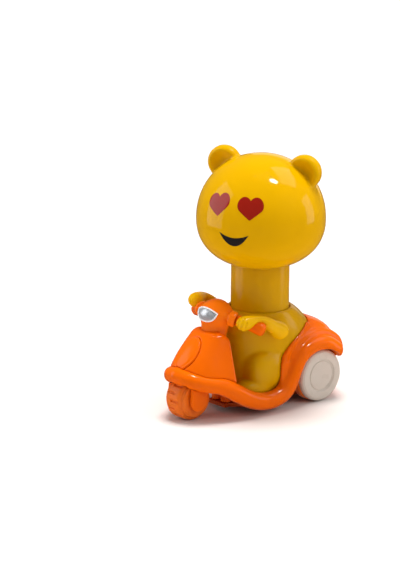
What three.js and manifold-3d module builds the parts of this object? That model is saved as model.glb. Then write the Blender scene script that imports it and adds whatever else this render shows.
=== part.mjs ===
// A press-and-go toy: a bear riding a scooter. Pressing the bear's head pushes a rack down through the
// neck, and a gear train spins the rear axle through a one-way hub. A spring lifts the head again.
// Millimetres, +Z up, the scooter faces -Y and the bear's left hand is at +X.
// The pieces are laid out around the neck's axis, and the whole toy is centred over the origin at the end.
import * as THREE from "three";
import { mergeVertices } from "three/addons/utils/BufferGeometryUtils.js";
import Module from "manifold-3d";

const wasm = await Module();
wasm.setup();

// Fits
const fitGap = 0.3; // between a moulding and the neighbour that it is shaped to
const seatGap = 0.1; // between a flat piece and the flat face that carries it
const runningGap = 0.12; // radial play of a turning shaft
const shellWall = 1.6;

// Stance
const frontAxleAhead = 37.4; // front axle ahead of the neck's axis
const rearAxleBehind = 18.1; // rear axle behind the neck's axis
const frontWheelRadius = 8.5;
const rearWheelRadius = 10.6;

// Head
const headRadius = 25.7;
const headWidestZ = 75;
const headCrownHeight = 26.1;
const headJawHeight = 19.6;
const headCrownPower = 2.05;
const headJawPower = 2.27;
const headWall = 1.8;
const headTurnDegrees = 24; // the head looks to the bear's left
const headSeamAhead = 0.6; // the shells meet just ahead of the ears
const earRadius = 6.2;
const earThickness = 5;
const earSpread = 17.6;
const earSetBack = 2.9;
const earCentreZ = 95.6;
const earDishRadius = 4.5;
const earDishDepth = 1.5;

// Neck and plunger
const neckRadius = 11.5;
const neckWall = 1.6;
const neckTopThickness = 1.8;
const neckInsertion = 1.2; // how far the neck stands up inside the head's opening
const pressStroke = 12;
const flangeRadius = 12.7;
const flangeThickness = 1.5;
const spindleRadius = 5;
const spindleHeight = 7.6;
const spindleLip = 0.8;
const spindleCapHeight = 1.4;
const socketFlangeThickness = 1.5;
const socketTubeWall = 1.8;

// Bear's body
const collarZ = 39.3;
const collarDepth = 3;
const torsoFloorZ = 4.4;
const torsoHalfWidth = 14.3;
const torsoHalfDepth = 20;
const torsoSetBack = 3.2; // the trunk leans back from the collar to the seat
const shoulderHeight = 11.8;
const kneeCentre = new THREE.Vector3(9, -6.6, 16.6);
const kneeSize = new THREE.Vector3(5.7, 8.2, 8.2);
const footCentre = new THREE.Vector3(9, -10.4, 9.8);
const footSize = new THREE.Vector3(5.5, 8.8, 3.9);
const gearHatchHalfWidth = 9.6; // the back of the body is open for the gearbox
const gearHatchTop = 27;

// Arms
const shoulderPoint = new THREE.Vector3(16.2, -4, 33);
const elbowPoint = new THREE.Vector3(17.3, -9.3, 36.9);
const wristPoint = new THREE.Vector3(17, -14.8, 40.8);
const handPoint = new THREE.Vector3(14.8, -21.4, 40.3);
const armSwingDegrees = 4.8; // the left arm hangs this far down on its peg, and the right arm up
const shoulderRadius = 3.5;
const elbowRadius = 2.7;
const wristRadius = 1.5;
const handRadius = 3;
const armPegRadius = 1.4;

// Handlebar and headlight
const cowlCentre = new THREE.Vector3(0, -23, 39.9);
const cowlSize = new THREE.Vector3(7.3, 6.4, 4.9);
const steeringNeckRadius = 4.9;
const steeringNeckTopRadius = 5.8;
const steeringRake = 1.4; // the neck's foot stands this far ahead of the cowl's centre
const barInner = new THREE.Vector3(4, -25.4, 41.1);
const barOuter = new THREE.Vector3(19, -15.65, 36.15);
const barRadius = 1.6;
const barCollarRadius = 3.1;
const barCollarStart = 4.4;
const barCollarLength = 3;
const gripStart = 7.8;
const gripRadius = 2.2;
const gripFlareRadius = 2.7;
const gripEndCap = 1;
const lensWidth = 10.4;
const lensRise = 1.9; // from the lens's tips up to its top edge
const lensDrop = 3.4; // from the lens's tips down to its bottom edge
const lensThickness = 0.8;
const lensTipZ = 41.6;

// Front shield and badge
const shieldRearAhead = 23.8;
const shieldFootZ = 13;
const shieldTopZ = 35;
const shieldTopSlope = 0.34; // drop of the top edge for each millimetre towards the rear
const shieldFootAhead = 45;
const shieldTopAhead = 28.8;
const shieldBow = 2; // power of the nose's curve in side view
const shieldFootHalfWidth = 14.2;
const shieldTopHalfWidth = 8.2;
const shieldNosePower = 2.2;
const badgeWidth = 10;
const badgeHeight = 15.2;
const badgeThickness = 0.7;
const badgeCentreZ = 26.9;

// Skirt bead: the thick rolled edge from the front fender over the footboard to the rear fender
const beadFrontRadius = 3.3;
const beadMiddleRadius = 3.5;
const beadRearRadius = 3.1;
const beadTailRadius = 3.8;
const noseHalfWidth = 8.6;
const noseAhead = 42.8;
const noseZ = 17.4;
const footboardHalfWidth = 15.5;
const footboardAhead = 11;
const footboardZ = 5.3;
const fenderHalfWidth = 16;
const fenderArchBehind = 16.1;
const fenderArchZ = 11;
const fenderArchRadius = 12.5;
const fenderArchStart = 157; // degrees, measured from straight back
const fenderArchEnd = 45;
const deckThickness = 2.4;
const deckCrown = 4.6; // rise of the front deck over the wheel

// Rear cowl
const cowlHalfWidth = 15.4;
const cowlTailHalfWidth = 14.4;
const cowlTopZ = 32.6;
const cowlFrontZ = 23;
const cowlFrontAhead = 2.2;
const cowlCrestBehind = 13;
const cowlTailBehind = 35;
const cowlTailZ = 20.5;
const cowlSkirtZ = 15;
const gearTunnelHalfWidth = 9.2;
const gearTunnelWall = 1.4;
const gearTunnelRear = 27.5;
const wheelWellGap = 0.9;

// Base plate and screws
const baseBottomZ = 2.4;
const baseThickness = 1.5;
const baseFrontAhead = 20;
const baseHalfWidth = 12;
const baseTongueAhead = 22.4;
const baseTongueHalfWidth = 5;
const baseRearBehind = 27;
const screwShankRadius = 1;
const screwHeadRadius = 1.9;
const screwHeadHeight = 1;
const screwLength = 6;
const bossRadius = 2.1;
const frontBossX = 2.6;
const frontBossAhead = 19.7;
const rearBossX = 5.2;
const rearBossBehind = 24.8;

// Front wheel and fork
const frontTreadHalfWidth = 4;
const frontHubHalfWidth = 5.3;
const frontHubRadius = 7;
const treadGrooves = 10;
const treadGrooveDepth = 0.7;
const treadGrooveWidth = 1.3;
const forkInnerX = 5.7;
const forkThickness = 1.6;
const forkFootRadius = 4.3;
const forkTopAhead = 37;
const forkTopHalfWidth = 4.2;
const forkTopZ = 16.5;
const frontAxleRadius = 1;

// Rear wheels
const rearTyreInnerX = 10;
const rearTyreWidth = 4.8;
const rearDiscThickness = 2.4;
const rearDiscRimWidth = 3.6;
const rearDiscStep = 0.5;
const rearDiscHubRadius = 5.2;
const rearAxleRadius = 1.2;
const bushRadius = 2.3;

// Gear train
const gearModule = 0.6;
const toothRise = 0.8; // height of a tooth above and below the pitch line, in modules
const toothDip = 1.15;
const tipShare = 0.1; // half thickness of a tooth as a share of the pitch, at its tip and its root
const rootShare = 0.29;
const pinionTeeth = 9;
const spurTeeth = 20;
const idlerTeeth = 15;
const driveTeeth = 10;
const pinionZ = 18;
const gearWidth = 2.4;
const gearSideX = 2.9; // inner side of the spur, idler and drive gears
const pinionLength = 5;
const rackWidth = 4.4;
const rackDepth = 3.4;
const rackStemFlange = 1.2;
const shaftPinRadius = 1;
const plateThickness = 1.4;
const towerHalfDepth = 5.4;
const seatThickness = 1.4;
const seatRadius = 9.2;
const hubRatchetRadius = 2.6;
const hubRatchetTeeth = 8;
const ratchetCupWall = 0.9;

// Return spring
const springWire = 1;
const springCoilRadius = 8.2;
const springTurns = 8;
const springStepsPerTurn = 8;
const springSides = 5;

// Smoothness of the round faces
const fineSegments = 24;
const roundSegments = 18;
const smallSegments = 10;
const weld = 1e-4;

// Places worked out from the sizes above
const pinionRadius = (gearModule * pinionTeeth) / 2;
const spurRadius = (gearModule * spurTeeth) / 2;
const idlerRadius = (gearModule * idlerTeeth) / 2;
const driveRadius = (gearModule * driveTeeth) / 2;
const baseTopZ = baseBottomZ + baseThickness;
const flangeTopZ = collarZ - collarDepth - fitGap;
const neckFootZ = flangeTopZ - flangeThickness;
const neckBore = neckRadius - neckWall;
const spurTopZ = pinionZ + spurRadius + gearModule * toothRise;
const seatTopZ = spurTopZ + 2 * fitGap + seatThickness;
const tunnelInside = gearTunnelHalfWidth - gearTunnelWall;
const plateOuterX = tunnelInside - seatGap;
const rearAxleZ = rearWheelRadius;
const frontAxleZ = frontWheelRadius;
const headOpeningZ = headWidestZ - jawDrop(neckRadius + fitGap);
const neckTopZ = headOpeningZ + neckInsertion;

const material = (colour, roughness, metalness = 0) =>
  new THREE.MeshStandardMaterial({ color: colour, roughness, metalness });
const yellowPlastic = material(0xf5b800, 0.22);
const bodyYellow = material(0xd8a800, 0.3);
const orangePlastic = material(0xff7010, 0.25);
const tyreOrange = material(0xf0701c, 0.4);
const whitePlastic = material(0xe6e0d4, 0.35);
const silver = material(0xc8ccd2, 0.2, 0.9);
const steel = material(0x9a9da2, 0.35, 1);
const nylon = material(0xe8e6dc, 0.5);
const darkPlastic = material(0x3a3a3c, 0.5);

// Height below the widest level at which the jaw has the given radius.
function jawDrop(radius) {
  return headJawHeight * (1 - (radius / headRadius) ** headJawPower) ** (1 / headJawPower);
}

// A closed geometry as a solid: its seams are welded, empty triangles dropped, and its faces turned outwards.
function solidOf(geometry) {
  const bare = geometry.clone();
  for (const name of Object.keys(bare.attributes)) {
    if (name !== "position") bare.deleteAttribute(name);
  }
  const merged = mergeVertices(bare, weld);
  const index = merged.index.array;
  const kept = [];
  for (let i = 0; i < index.length; i += 3) {
    const [a, b, c] = [index[i], index[i + 1], index[i + 2]];
    if (a !== b && b !== c && c !== a) kept.push(a, b, c);
  }
  const vertProperties = merged.attributes.position.array;
  const build = (triVerts) =>
    new wasm.Manifold(new wasm.Mesh({ numProp: 3, vertProperties, triVerts }));
  const made = build(new Uint32Array(kept));
  if (made.volume() > 0) return made;
  return build(new Uint32Array(kept.reverse()));
}

function geometryOf(solid) {
  const mesh = solid.getMesh();
  const positions = new Float32Array(mesh.numVert * 3);
  for (let i = 0; i < mesh.numVert; i++) {
    positions.set(mesh.vertProperties.subarray(i * mesh.numProp, i * mesh.numProp + 3), i * 3);
  }
  const geometry = new THREE.BufferGeometry();
  geometry.setAttribute("position", new THREE.BufferAttribute(positions, 3));
  geometry.setIndex(new THREE.BufferAttribute(new Uint32Array(mesh.triVerts), 1));
  geometry.computeVertexNormals();
  return geometry;
}

function piece(name, solid, look) {
  const mesh = new THREE.Mesh(geometryOf(solid), look);
  mesh.name = name;
  return mesh;
}

const union = (...solids) => solids.reduce((whole, next) => whole.add(next));
const cut = (solid, ...tools) => tools.reduce((left, tool) => left.subtract(tool), solid);

// Turned shapes: a profile of [radius, height] pairs, spun about Z or about X.
function turnedZ(profile, segments = roundSegments) {
  const points = profile.map(([radius, height]) => new THREE.Vector2(radius, height));
  return solidOf(new THREE.LatheGeometry([...points, points[0]], segments).rotateX(Math.PI / 2));
}

function turnedX(profile, segments = roundSegments) {
  const points = profile.map(([radius, height]) => new THREE.Vector2(radius, height));
  return solidOf(new THREE.LatheGeometry([...points, points[0]], segments).rotateZ(-Math.PI / 2));
}

// A round bar between two points.
function bar(from, to, radius, segments = smallSegments, endRadius = radius) {
  const along = new THREE.Vector3().subVectors(to, from);
  const geometry = new THREE.CylinderGeometry(endRadius, radius, along.length(), segments);
  const up = new THREE.Vector3(0, 1, 0);
  geometry.applyQuaternion(new THREE.Quaternion().setFromUnitVectors(up, along.clone().normalize()));
  const middle = new THREE.Vector3().addVectors(from, to).multiplyScalar(0.5);
  return solidOf(geometry.translate(middle.x, middle.y, middle.z));
}

const rodX = (x0, x1, y, z, radius, segments = smallSegments) =>
  bar(new THREE.Vector3(x0, y, z), new THREE.Vector3(x1, y, z), radius, segments);

function block(low, high) {
  const size = new THREE.Vector3().subVectors(high, low);
  const middle = new THREE.Vector3().addVectors(low, high).multiplyScalar(0.5);
  const geometry = new THREE.BoxGeometry(size.x, size.y, size.z);
  return solidOf(geometry.translate(middle.x, middle.y, middle.z));
}

const boxOf = (x0, y0, z0, x1, y1, z1) =>
  block(new THREE.Vector3(x0, y0, z0), new THREE.Vector3(x1, y1, z1));

function ellipsoid(centre, size, segments = roundSegments) {
  const geometry = new THREE.SphereGeometry(1, segments, segments / 2);
  geometry.rotateX(Math.PI / 2).scale(size.x, size.y, size.z);
  return solidOf(geometry.translate(centre.x, centre.y, centre.z));
}

// A side-view outline in the Y-Z plane, extruded from x0 to x1.
function sidePlate(shape, x0, x1) {
  const depth = x1 - x0;
  const geometry = new THREE.ExtrudeGeometry(shape, { depth, bevelEnabled: false, curveSegments: 8 });
  const side = new THREE.Matrix4().makeBasis(
    new THREE.Vector3(0, 1, 0),
    new THREE.Vector3(0, 0, 1),
    new THREE.Vector3(1, 0, 0),
  );
  return solidOf(geometry.applyMatrix4(side).translate(x0, 0, 0));
}

// A skin through rings of points, closed at both ends.
function loft(rings) {
  const count = rings[0].length;
  const positions = [];
  const index = [];
  for (const ring of rings) {
    for (const point of ring) positions.push(point.x, point.y, point.z);
  }
  for (let r = 0; r + 1 < rings.length; r++) {
    for (let i = 0; i < count; i++) {
      const a = r * count + i;
      const b = r * count + ((i + 1) % count);
      index.push(a, b, a + count, b, b + count, a + count);
    }
  }
  for (const end of [0, rings.length - 1]) {
    const middle = rings[end].reduce((sum, p) => sum.add(p), new THREE.Vector3()).divideScalar(count);
    const hub = positions.length / 3;
    positions.push(middle.x, middle.y, middle.z);
    for (let i = 0; i < count; i++) {
      const a = end * count + i;
      const b = end * count + ((i + 1) % count);
      index.push(...(end === 0 ? [b, a, hub] : [a, b, hub]));
    }
  }
  const geometry = new THREE.BufferGeometry();
  geometry.setAttribute("position", new THREE.Float32BufferAttribute(positions, 3));
  geometry.setIndex(index);
  return solidOf(geometry);
}

// A round tube along a curve, whose radius follows radiusAt(share of the length) and whose ends are domed.
function tube(curve, steps, sides, radiusAt) {
  const domeSteps = 2;
  const stations = [];
  for (let i = 1; i <= domeSteps; i++) {
    const angle = ((i - 1) / domeSteps) * (Math.PI / 2);
    stations.push({ share: 0, reach: -Math.cos(angle), scale: Math.max(Math.sin(angle), 0.05) });
  }
  for (let i = 0; i <= steps; i++) stations.push({ share: i / steps, reach: 0, scale: 1 });
  for (let i = 1; i <= domeSteps; i++) {
    const angle = (i / domeSteps) * (Math.PI / 2);
    stations.push({ share: 1, reach: Math.sin(angle), scale: Math.max(Math.cos(angle), 0.05) });
  }
  const up = new THREE.Vector3(0, 0, 1);
  const rings = stations.map(({ share, reach, scale }) => {
    const tangent = curve.getTangentAt(share);
    const across = new THREE.Vector3().crossVectors(up, tangent).normalize();
    const above = new THREE.Vector3().crossVectors(tangent, across);
    const radius = radiusAt(share);
    const centre = curve.getPointAt(share).addScaledVector(tangent, reach * radius);
    return Array.from({ length: sides }, (_, k) => {
      const angle = (k / sides) * 2 * Math.PI;
      return centre
        .clone()
        .addScaledVector(across, Math.cos(angle) * radius * scale)
        .addScaledVector(above, Math.sin(angle) * radius * scale);
    });
  });
  return loft(rings);
}

const mirrored = (solid) => solidOf(geometryOf(solid).scale(-1, 1, 1));
const moved = (solid, x, y, z) => solidOf(geometryOf(solid).translate(x, y, z));
const smoothstep = (low, high, value) => THREE.MathUtils.smoothstep(value, low, high);
const mix = THREE.MathUtils.lerp;

// Bear's trunk: oval sections that round in at the shoulders and lean back to the seat, grown by `grow`.
function bearForm(grow, segments = fineSegments, levels = 9) {
  const shoulderZ = collarZ - shoulderHeight;
  const collarRadius = neckRadius + fitGap + shellWall / 2;
  const rings = [];
  for (let level = 0; level <= levels; level++) {
    const share = Math.sin((level / levels) * (Math.PI / 2)) ** 1.2;
    const z = mix(torsoFloorZ - grow, collarZ + grow, share);
    const above = Math.max(0, (z - grow - shoulderZ) / shoulderHeight);
    const full = 1 - Math.min(1, above * above);
    const centreY = torsoSetBack * (1 - Math.min(1, above));
    const waist = mix(0.82, 1, smoothstep(0, 0.16, share));
    const halfWidth = mix(collarRadius, torsoHalfWidth, full) * waist + grow;
    const halfDepth = mix(collarRadius, torsoHalfDepth, full) * waist + grow;
    rings.push(
      Array.from({ length: segments }, (_, k) => {
        const angle = (k / segments) * 2 * Math.PI;
        return new THREE.Vector3(halfWidth * Math.cos(angle), centreY + halfDepth * Math.sin(angle), z);
      }),
    );
  }
  return loft(rings);
}

// Legs and feet, grown by `grow`.
function legForm(grow) {
  const legs = [
    [kneeCentre, kneeSize],
    [footCentre, footSize],
  ].map(([centre, size]) => ellipsoid(centre, size.clone().addScalar(grow), 14));
  return union(...legs, ...legs.map(mirrored));
}

// The room around the rear wheels, kept free of the bear, with the fender's wall between.
const wheelRoom = (extra) =>
  sideWells(rearWheelRadius + wheelWellGap + shellWall + extra, gearTunnelHalfWidth - shellWall);

const bearOutside = (grow) => cut(union(bearForm(grow), legForm(grow)), ...wheelRoom(-grow));

function bearBody() {
  const underCollar = collarZ - collarDepth;
  const overCollar = boxOf(-40, -40, underCollar, 40, 40, collarZ + 20);
  const hollow = cut(bearForm(-shellWall, roundSegments, 7), overCollar);
  const footHole = boxOf(-tunnelInside, -towerHalfDepth - 5, 0, tunnelInside, 40, torsoFloorZ + 4);
  const hatch = boxOf(-gearHatchHalfWidth, towerHalfDepth, 0, gearHatchHalfWidth, 40, gearHatchTop);
  const round = (radius, low, high) => turnedZ([
    [0, low],
    [radius, low],
    [radius, high],
    [0, high],
  ], fineSegments);
  const collarHole = round(neckRadius + fitGap, underCollar - 1, collarZ + 5);
  const flangeRoom = cut(
    round(flangeRadius + fitGap, neckFootZ - pressStroke - 1, underCollar),
    ...besideFlange(fitGap),
  );
  const pegHoles = [1, -1].map((side) => armPeg(side, fitGap));
  return cut(bearOutside(0), hollow, footHole, hatch, collarHole, flangeRoom, ...pegHoles);
}

// Arms
function armPeg(side, grow = 0) {
  const outer = new THREE.Vector3(side * shoulderPoint.x, shoulderPoint.y, shoulderPoint.z);
  const inner = outer.clone().setX(side * (neckRadius + 2 * fitGap - 3 * grow));
  return bar(outer, inner, armPegRadius + grow);
}

function arm(side) {
  const swing = new THREE.Matrix4().makeRotationX(side * THREE.MathUtils.degToRad(armSwingDegrees));
  const points = [shoulderPoint, elbowPoint, wristPoint, handPoint].map((point) =>
    point.clone().sub(shoulderPoint).applyMatrix4(swing).add(shoulderPoint),
  );
  const curve = new THREE.CatmullRomCurve3(points, false, "centripetal");
  const radii = [shoulderRadius, elbowRadius, wristRadius, handRadius];
  const radiusAt = (share) => {
    const place = share * (radii.length - 1);
    const low = Math.min(Math.floor(place), radii.length - 2);
    return mix(radii[low], radii[low + 1], smoothstep(0, 1, place - low));
  };
  const whole = tube(curve, 12, 10, radiusAt);
  const sided = side > 0 ? whole : mirrored(whole);
  return union(cut(sided, bearForm(fitGap), gripForm(side, fitGap)), armPeg(side));
}

// Handlebar: the headlight cowl on its steering neck, with a bar and a collar to each side
const sidePoint = (point, side) => new THREE.Vector3(side * point.x, point.y, point.z);
const barDirection = new THREE.Vector3().subVectors(barOuter, barInner).normalize();
const alongBar = (distance, side) =>
  sidePoint(barInner.clone().addScaledVector(barDirection, distance), side);
const barLength = barInner.distanceTo(barOuter);
const barCollarEnd = barCollarStart + barCollarLength;

function gripForm(side, grow = 0) {
  const flareStart = barLength - 2 * gripFlareRadius;
  const body = bar(alongBar(gripStart, side), alongBar(flareStart, side), gripRadius + grow);
  const flare = bar(
    alongBar(flareStart, side),
    alongBar(barLength + gripEndCap, side),
    gripRadius + grow,
    smallSegments,
    gripFlareRadius + grow,
  );
  return union(body, flare);
}

function grip(side) {
  const bore = bar(alongBar(0, side), alongBar(barLength + seatGap, side), barRadius + seatGap);
  return cut(gripForm(side), bore);
}

const shieldTopAt = (y) => shieldTopZ - shieldTopSlope * (y + shieldTopAhead);

function handlebar() {
  const footY = cowlCentre.y - steeringRake;
  const neckFoot = new THREE.Vector3(0, footY, shieldTopAt(footY) - steeringNeckRadius);
  const neck = bar(neckFoot, cowlCentre, steeringNeckRadius, roundSegments, steeringNeckTopRadius);
  const sides = [1, -1].flatMap((side) => [
    bar(alongBar(0, side), alongBar(barLength, side), barRadius),
    bar(alongBar(barCollarStart, side), alongBar(barCollarEnd, side), barCollarRadius),
  ]);
  const standing = neck.intersect(aboveShield(-seatGap));
  return cut(union(ellipsoid(cowlCentre, cowlSize), standing, ...sides), lensForm(fitGap));
}

// Headlight: an almond-shaped plate let into the front of the cowl
function lensForm(grow) {
  const half = lensWidth / 2 + grow;
  const rise = lensRise + grow;
  const drop = lensDrop + grow;
  const almond = new THREE.Shape();
  almond.moveTo(-half, 0);
  almond.quadraticCurveTo(-half * 0.5, rise, 0, rise);
  almond.quadraticCurveTo(half * 0.5, rise, half, 0);
  almond.quadraticCurveTo(half * 0.9, -drop, half * 0.2, -drop);
  almond.lineTo(-half * 0.2, -drop);
  almond.quadraticCurveTo(-half * 0.9, -drop, -half, 0);
  const depth = cowlSize.y * 2;
  const prism = new THREE.ExtrudeGeometry(almond, { depth, bevelEnabled: false, curveSegments: 6 });
  prism.rotateX(Math.PI / 2).translate(cowlCentre.x, cowlCentre.y, lensTipZ);
  const skin = lensThickness / 2;
  const outside = ellipsoid(cowlCentre, cowlSize.clone().addScalar(skin + grow));
  const inside = ellipsoid(cowlCentre, cowlSize.clone().addScalar(-skin - grow));
  return cut(solidOf(prism).intersect(outside), inside);
}

// Front shield: a nose that leans back, open to the rear, standing on the front deck
function shieldForm(grow) {
  const levels = 6;
  const points = 16;
  const rings = [];
  for (let level = 0; level <= levels; level++) {
    const share = level / levels;
    const z = mix(shieldFootZ, shieldTopZ + 1, share);
    const lean = (z - shieldFootZ) / (shieldTopZ - shieldFootZ);
    const ahead = mix(shieldFootAhead, shieldTopAhead, lean ** shieldBow) + grow;
    const halfWidth = mix(shieldFootHalfWidth, shieldTopHalfWidth, lean) + grow;
    const ring = [];
    for (let k = 0; k <= points; k++) {
      const angle = (k / points) * Math.PI;
      const across = Math.cos(angle);
      const forward = Math.sin(angle);
      const x = halfWidth * Math.sign(across) * Math.abs(across) ** (2 / shieldNosePower);
      const y = shieldRearAhead + (ahead - shieldRearAhead) * forward ** (2 / shieldNosePower);
      ring.push(new THREE.Vector3(x, -y, z));
    }
    rings.push(ring);
  }
  return loft(rings);
}

// Everything above the shield's sloping top edge, lowered by `drop`.
function aboveShield(drop) {
  const outline = new THREE.Shape();
  const front = -shieldFootAhead - 10;
  outline.moveTo(front, shieldTopAt(front) - drop);
  outline.lineTo(0, shieldTopAt(0) - drop);
  outline.lineTo(0, shieldTopZ + 40);
  outline.lineTo(front, shieldTopZ + 40);
  return sidePlate(outline, -40, 40);
}

function frontShield() {
  const inside = shieldTopHalfWidth - shellWall;
  const rearY = -shieldRearAhead;
  const openRear = boxOf(-inside, rearY - 1, shieldFootZ, inside, rearY + 5, shieldTopZ);
  const hollow = cut(union(shieldForm(-shellWall), openRear), aboveShield(shellWall));
  const foot = besideBead(-1, beadFrontRadius);
  return cut(shieldForm(0), aboveShield(0), hollow, foot, skirtForm(fitGap), badgeForm(seatGap));
}

// Badge: a plain oval plate let into the front of the shield
function badgeForm(grow) {
  const oval = new THREE.Shape();
  oval.absellipse(0, 0, badgeWidth / 2 + grow, badgeHeight / 2 + grow, 0, 2 * Math.PI);
  const depth = shieldFootAhead;
  const prism = new THREE.ExtrudeGeometry(oval, { depth, bevelEnabled: false, curveSegments: 12 });
  const lean = Math.atan2(shieldFootAhead - shieldTopAhead, shieldTopZ - shieldFootZ);
  prism.rotateX(Math.PI / 2 - lean);
  const share = (badgeCentreZ - shieldFootZ) / (shieldTopZ - shieldFootZ);
  const back = depth / 3;
  const faceY = -mix(shieldFootAhead, shieldTopAhead, share ** shieldBow);
  prism.translate(0, faceY + back, badgeCentreZ - back * Math.tan(lean));
  const skin = badgeThickness / 2 + grow;
  return cut(solidOf(prism).intersect(shieldForm(skin)), shieldForm(-skin));
}

// Skirt bead and deck
function beadCurve(side) {
  const run = [
    [0, -noseAhead, noseZ],
    [noseHalfWidth * 0.58, -noseAhead + 1.6, noseZ - 1],
    [noseHalfWidth, -noseAhead + 6.6, noseZ - 2.6],
    [mix(noseHalfWidth, footboardHalfWidth, 0.45), -noseAhead + 13.4, noseZ - 4],
    [mix(noseHalfWidth, footboardHalfWidth, 0.76), -noseAhead + 19, noseZ - 6.9],
    [mix(noseHalfWidth, footboardHalfWidth, 0.93), -footboardAhead - 6.6, footboardZ + 1.8],
    [footboardHalfWidth, -footboardAhead, footboardZ],
    [mix(footboardHalfWidth, fenderHalfWidth, 0.5), -footboardAhead + 6.2, footboardZ + 0.4],
    [fenderHalfWidth, -footboardAhead + 11, footboardZ + 3],
  ];
  const arcSteps = 6;
  for (let i = 0; i <= arcSteps; i++) {
    const angle = THREE.MathUtils.degToRad(mix(fenderArchStart, fenderArchEnd, i / arcSteps));
    run.push([
      fenderHalfWidth,
      fenderArchBehind + fenderArchRadius * Math.cos(angle),
      fenderArchZ + fenderArchRadius * Math.sin(angle),
    ]);
  }
  const points = run.map(([x, y, z]) => new THREE.Vector3(side * x, y, z));
  return new THREE.CatmullRomCurve3(points, false, "centripetal");
}

function beadRadiusAt(share) {
  const middle = mix(beadFrontRadius, beadMiddleRadius, smoothstep(0.05, 0.35, share));
  const rear = mix(middle, beadRearRadius, smoothstep(0.55, 0.8, share));
  return mix(rear, beadTailRadius, smoothstep(0.85, 1, share));
}

function beadForm(grow) {
  const left = tube(beadCurve(1), 22, 10, (share) => beadRadiusAt(share) + grow);
  return union(left, mirrored(left));
}

// Deck: a crowned plate that joins the two beads from the nose to the footboard.
function deckForm(grow) {
  const curve = beadCurve(1);
  const stations = 9;
  const lastShare = 0.42;
  const across = 6;
  const rings = [];
  for (let i = 0; i <= stations; i++) {
    const share = mix(0.02, lastShare, i / stations);
    const edge = curve.getPointAt(share);
    const crown = deckCrown * smoothstep(0, 0.12, share) * (1 - smoothstep(0.14, 0.3, share));
    const ring = [];
    const half = deckThickness / 2 + grow;
    for (const [offset, direction] of [[half, 1], [-half, -1]]) {
      for (let k = 0; k <= across; k++) {
        const place = direction * (1 - (2 * k) / across);
        const rise = crown * (1 - place * place);
        ring.push(new THREE.Vector3(edge.x * place, edge.y, edge.z + rise + offset));
      }
    }
    rings.push(ring);
  }
  return loft(rings);
}

// Everything under (-1) or over (+1) the bead's centre line in side view, from the nose to the footboard.
function besideBead(direction, raise = 0) {
  const curve = beadCurve(1);
  const outline = new THREE.Shape();
  const far = direction * 80;
  outline.moveTo(-noseAhead - 20, noseZ + raise);
  for (let i = 0; i <= 12; i++) {
    const point = curve.getPointAt((i / 12) * 0.45);
    outline.lineTo(point.y, point.z + raise);
  }
  const last = curve.getPointAt(0.45);
  outline.lineTo(last.y, far);
  outline.lineTo(-noseAhead - 20, far);
  return sidePlate(outline, -40, 40);
}

const skirtForm = (grow) => union(beadForm(grow), deckForm(grow));

// Rear cowl: arched cross-sections from the lip behind the bear to the tail
function cowlForm(inset) {
  const top = new THREE.CatmullRomCurve3([
    new THREE.Vector3(0, -cowlFrontAhead, cowlFrontZ),
    new THREE.Vector3(0, mix(-cowlFrontAhead, cowlCrestBehind, 0.4), mix(cowlFrontZ, cowlTopZ, 0.72)),
    new THREE.Vector3(0, cowlCrestBehind, cowlTopZ),
    new THREE.Vector3(0, mix(cowlCrestBehind, cowlTailBehind, 0.55), mix(cowlTailZ, cowlTopZ, 0.84)),
    new THREE.Vector3(0, cowlTailBehind, cowlTailZ),
  ]);
  const stations = 10;
  const arch = 12;
  const archPower = 2.9;
  const rings = [];
  for (let i = 0; i <= stations; i++) {
    const point = top.getPointAt(i / stations);
    const share = (point.y + cowlFrontAhead) / (cowlTailBehind + cowlFrontAhead);
    const round = Math.sqrt(1 - smoothstep(0.72, 1.12, share));
    const halfWidth = mix(cowlHalfWidth, cowlTailHalfWidth, smoothstep(0.2, 0.7, share)) * round - inset;
    const y = i === 0 ? point.y + inset : i === stations ? point.y - inset : point.y;
    const ring = [];
    for (let k = 0; k <= arch; k++) {
      const angle = (k / arch) * Math.PI;
      const side = Math.cos(angle);
      const x = halfWidth * Math.sign(side) * Math.abs(side) ** (2 / archPower);
      const height = Math.max(point.z - inset - cowlSkirtZ, 0.5);
      ring.push(new THREE.Vector3(x, y, cowlSkirtZ - inset + height * Math.sin(angle) ** (2 / archPower)));
    }
    rings.push(ring);
  }
  return loft(rings);
}

const sideWells = (radius, insideX) =>
  [1, -1].map((side) => rodX(side * insideX, side * 40, rearAxleBehind, rearAxleZ, radius, fineSegments));

const screwPlaces = [
  ["front_left", frontBossX, -frontBossAhead],
  ["front_right", -frontBossX, -frontBossAhead],
  ["rear_left", rearBossX, rearBossBehind],
  ["rear_right", -rearBossX, rearBossBehind],
];

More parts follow.
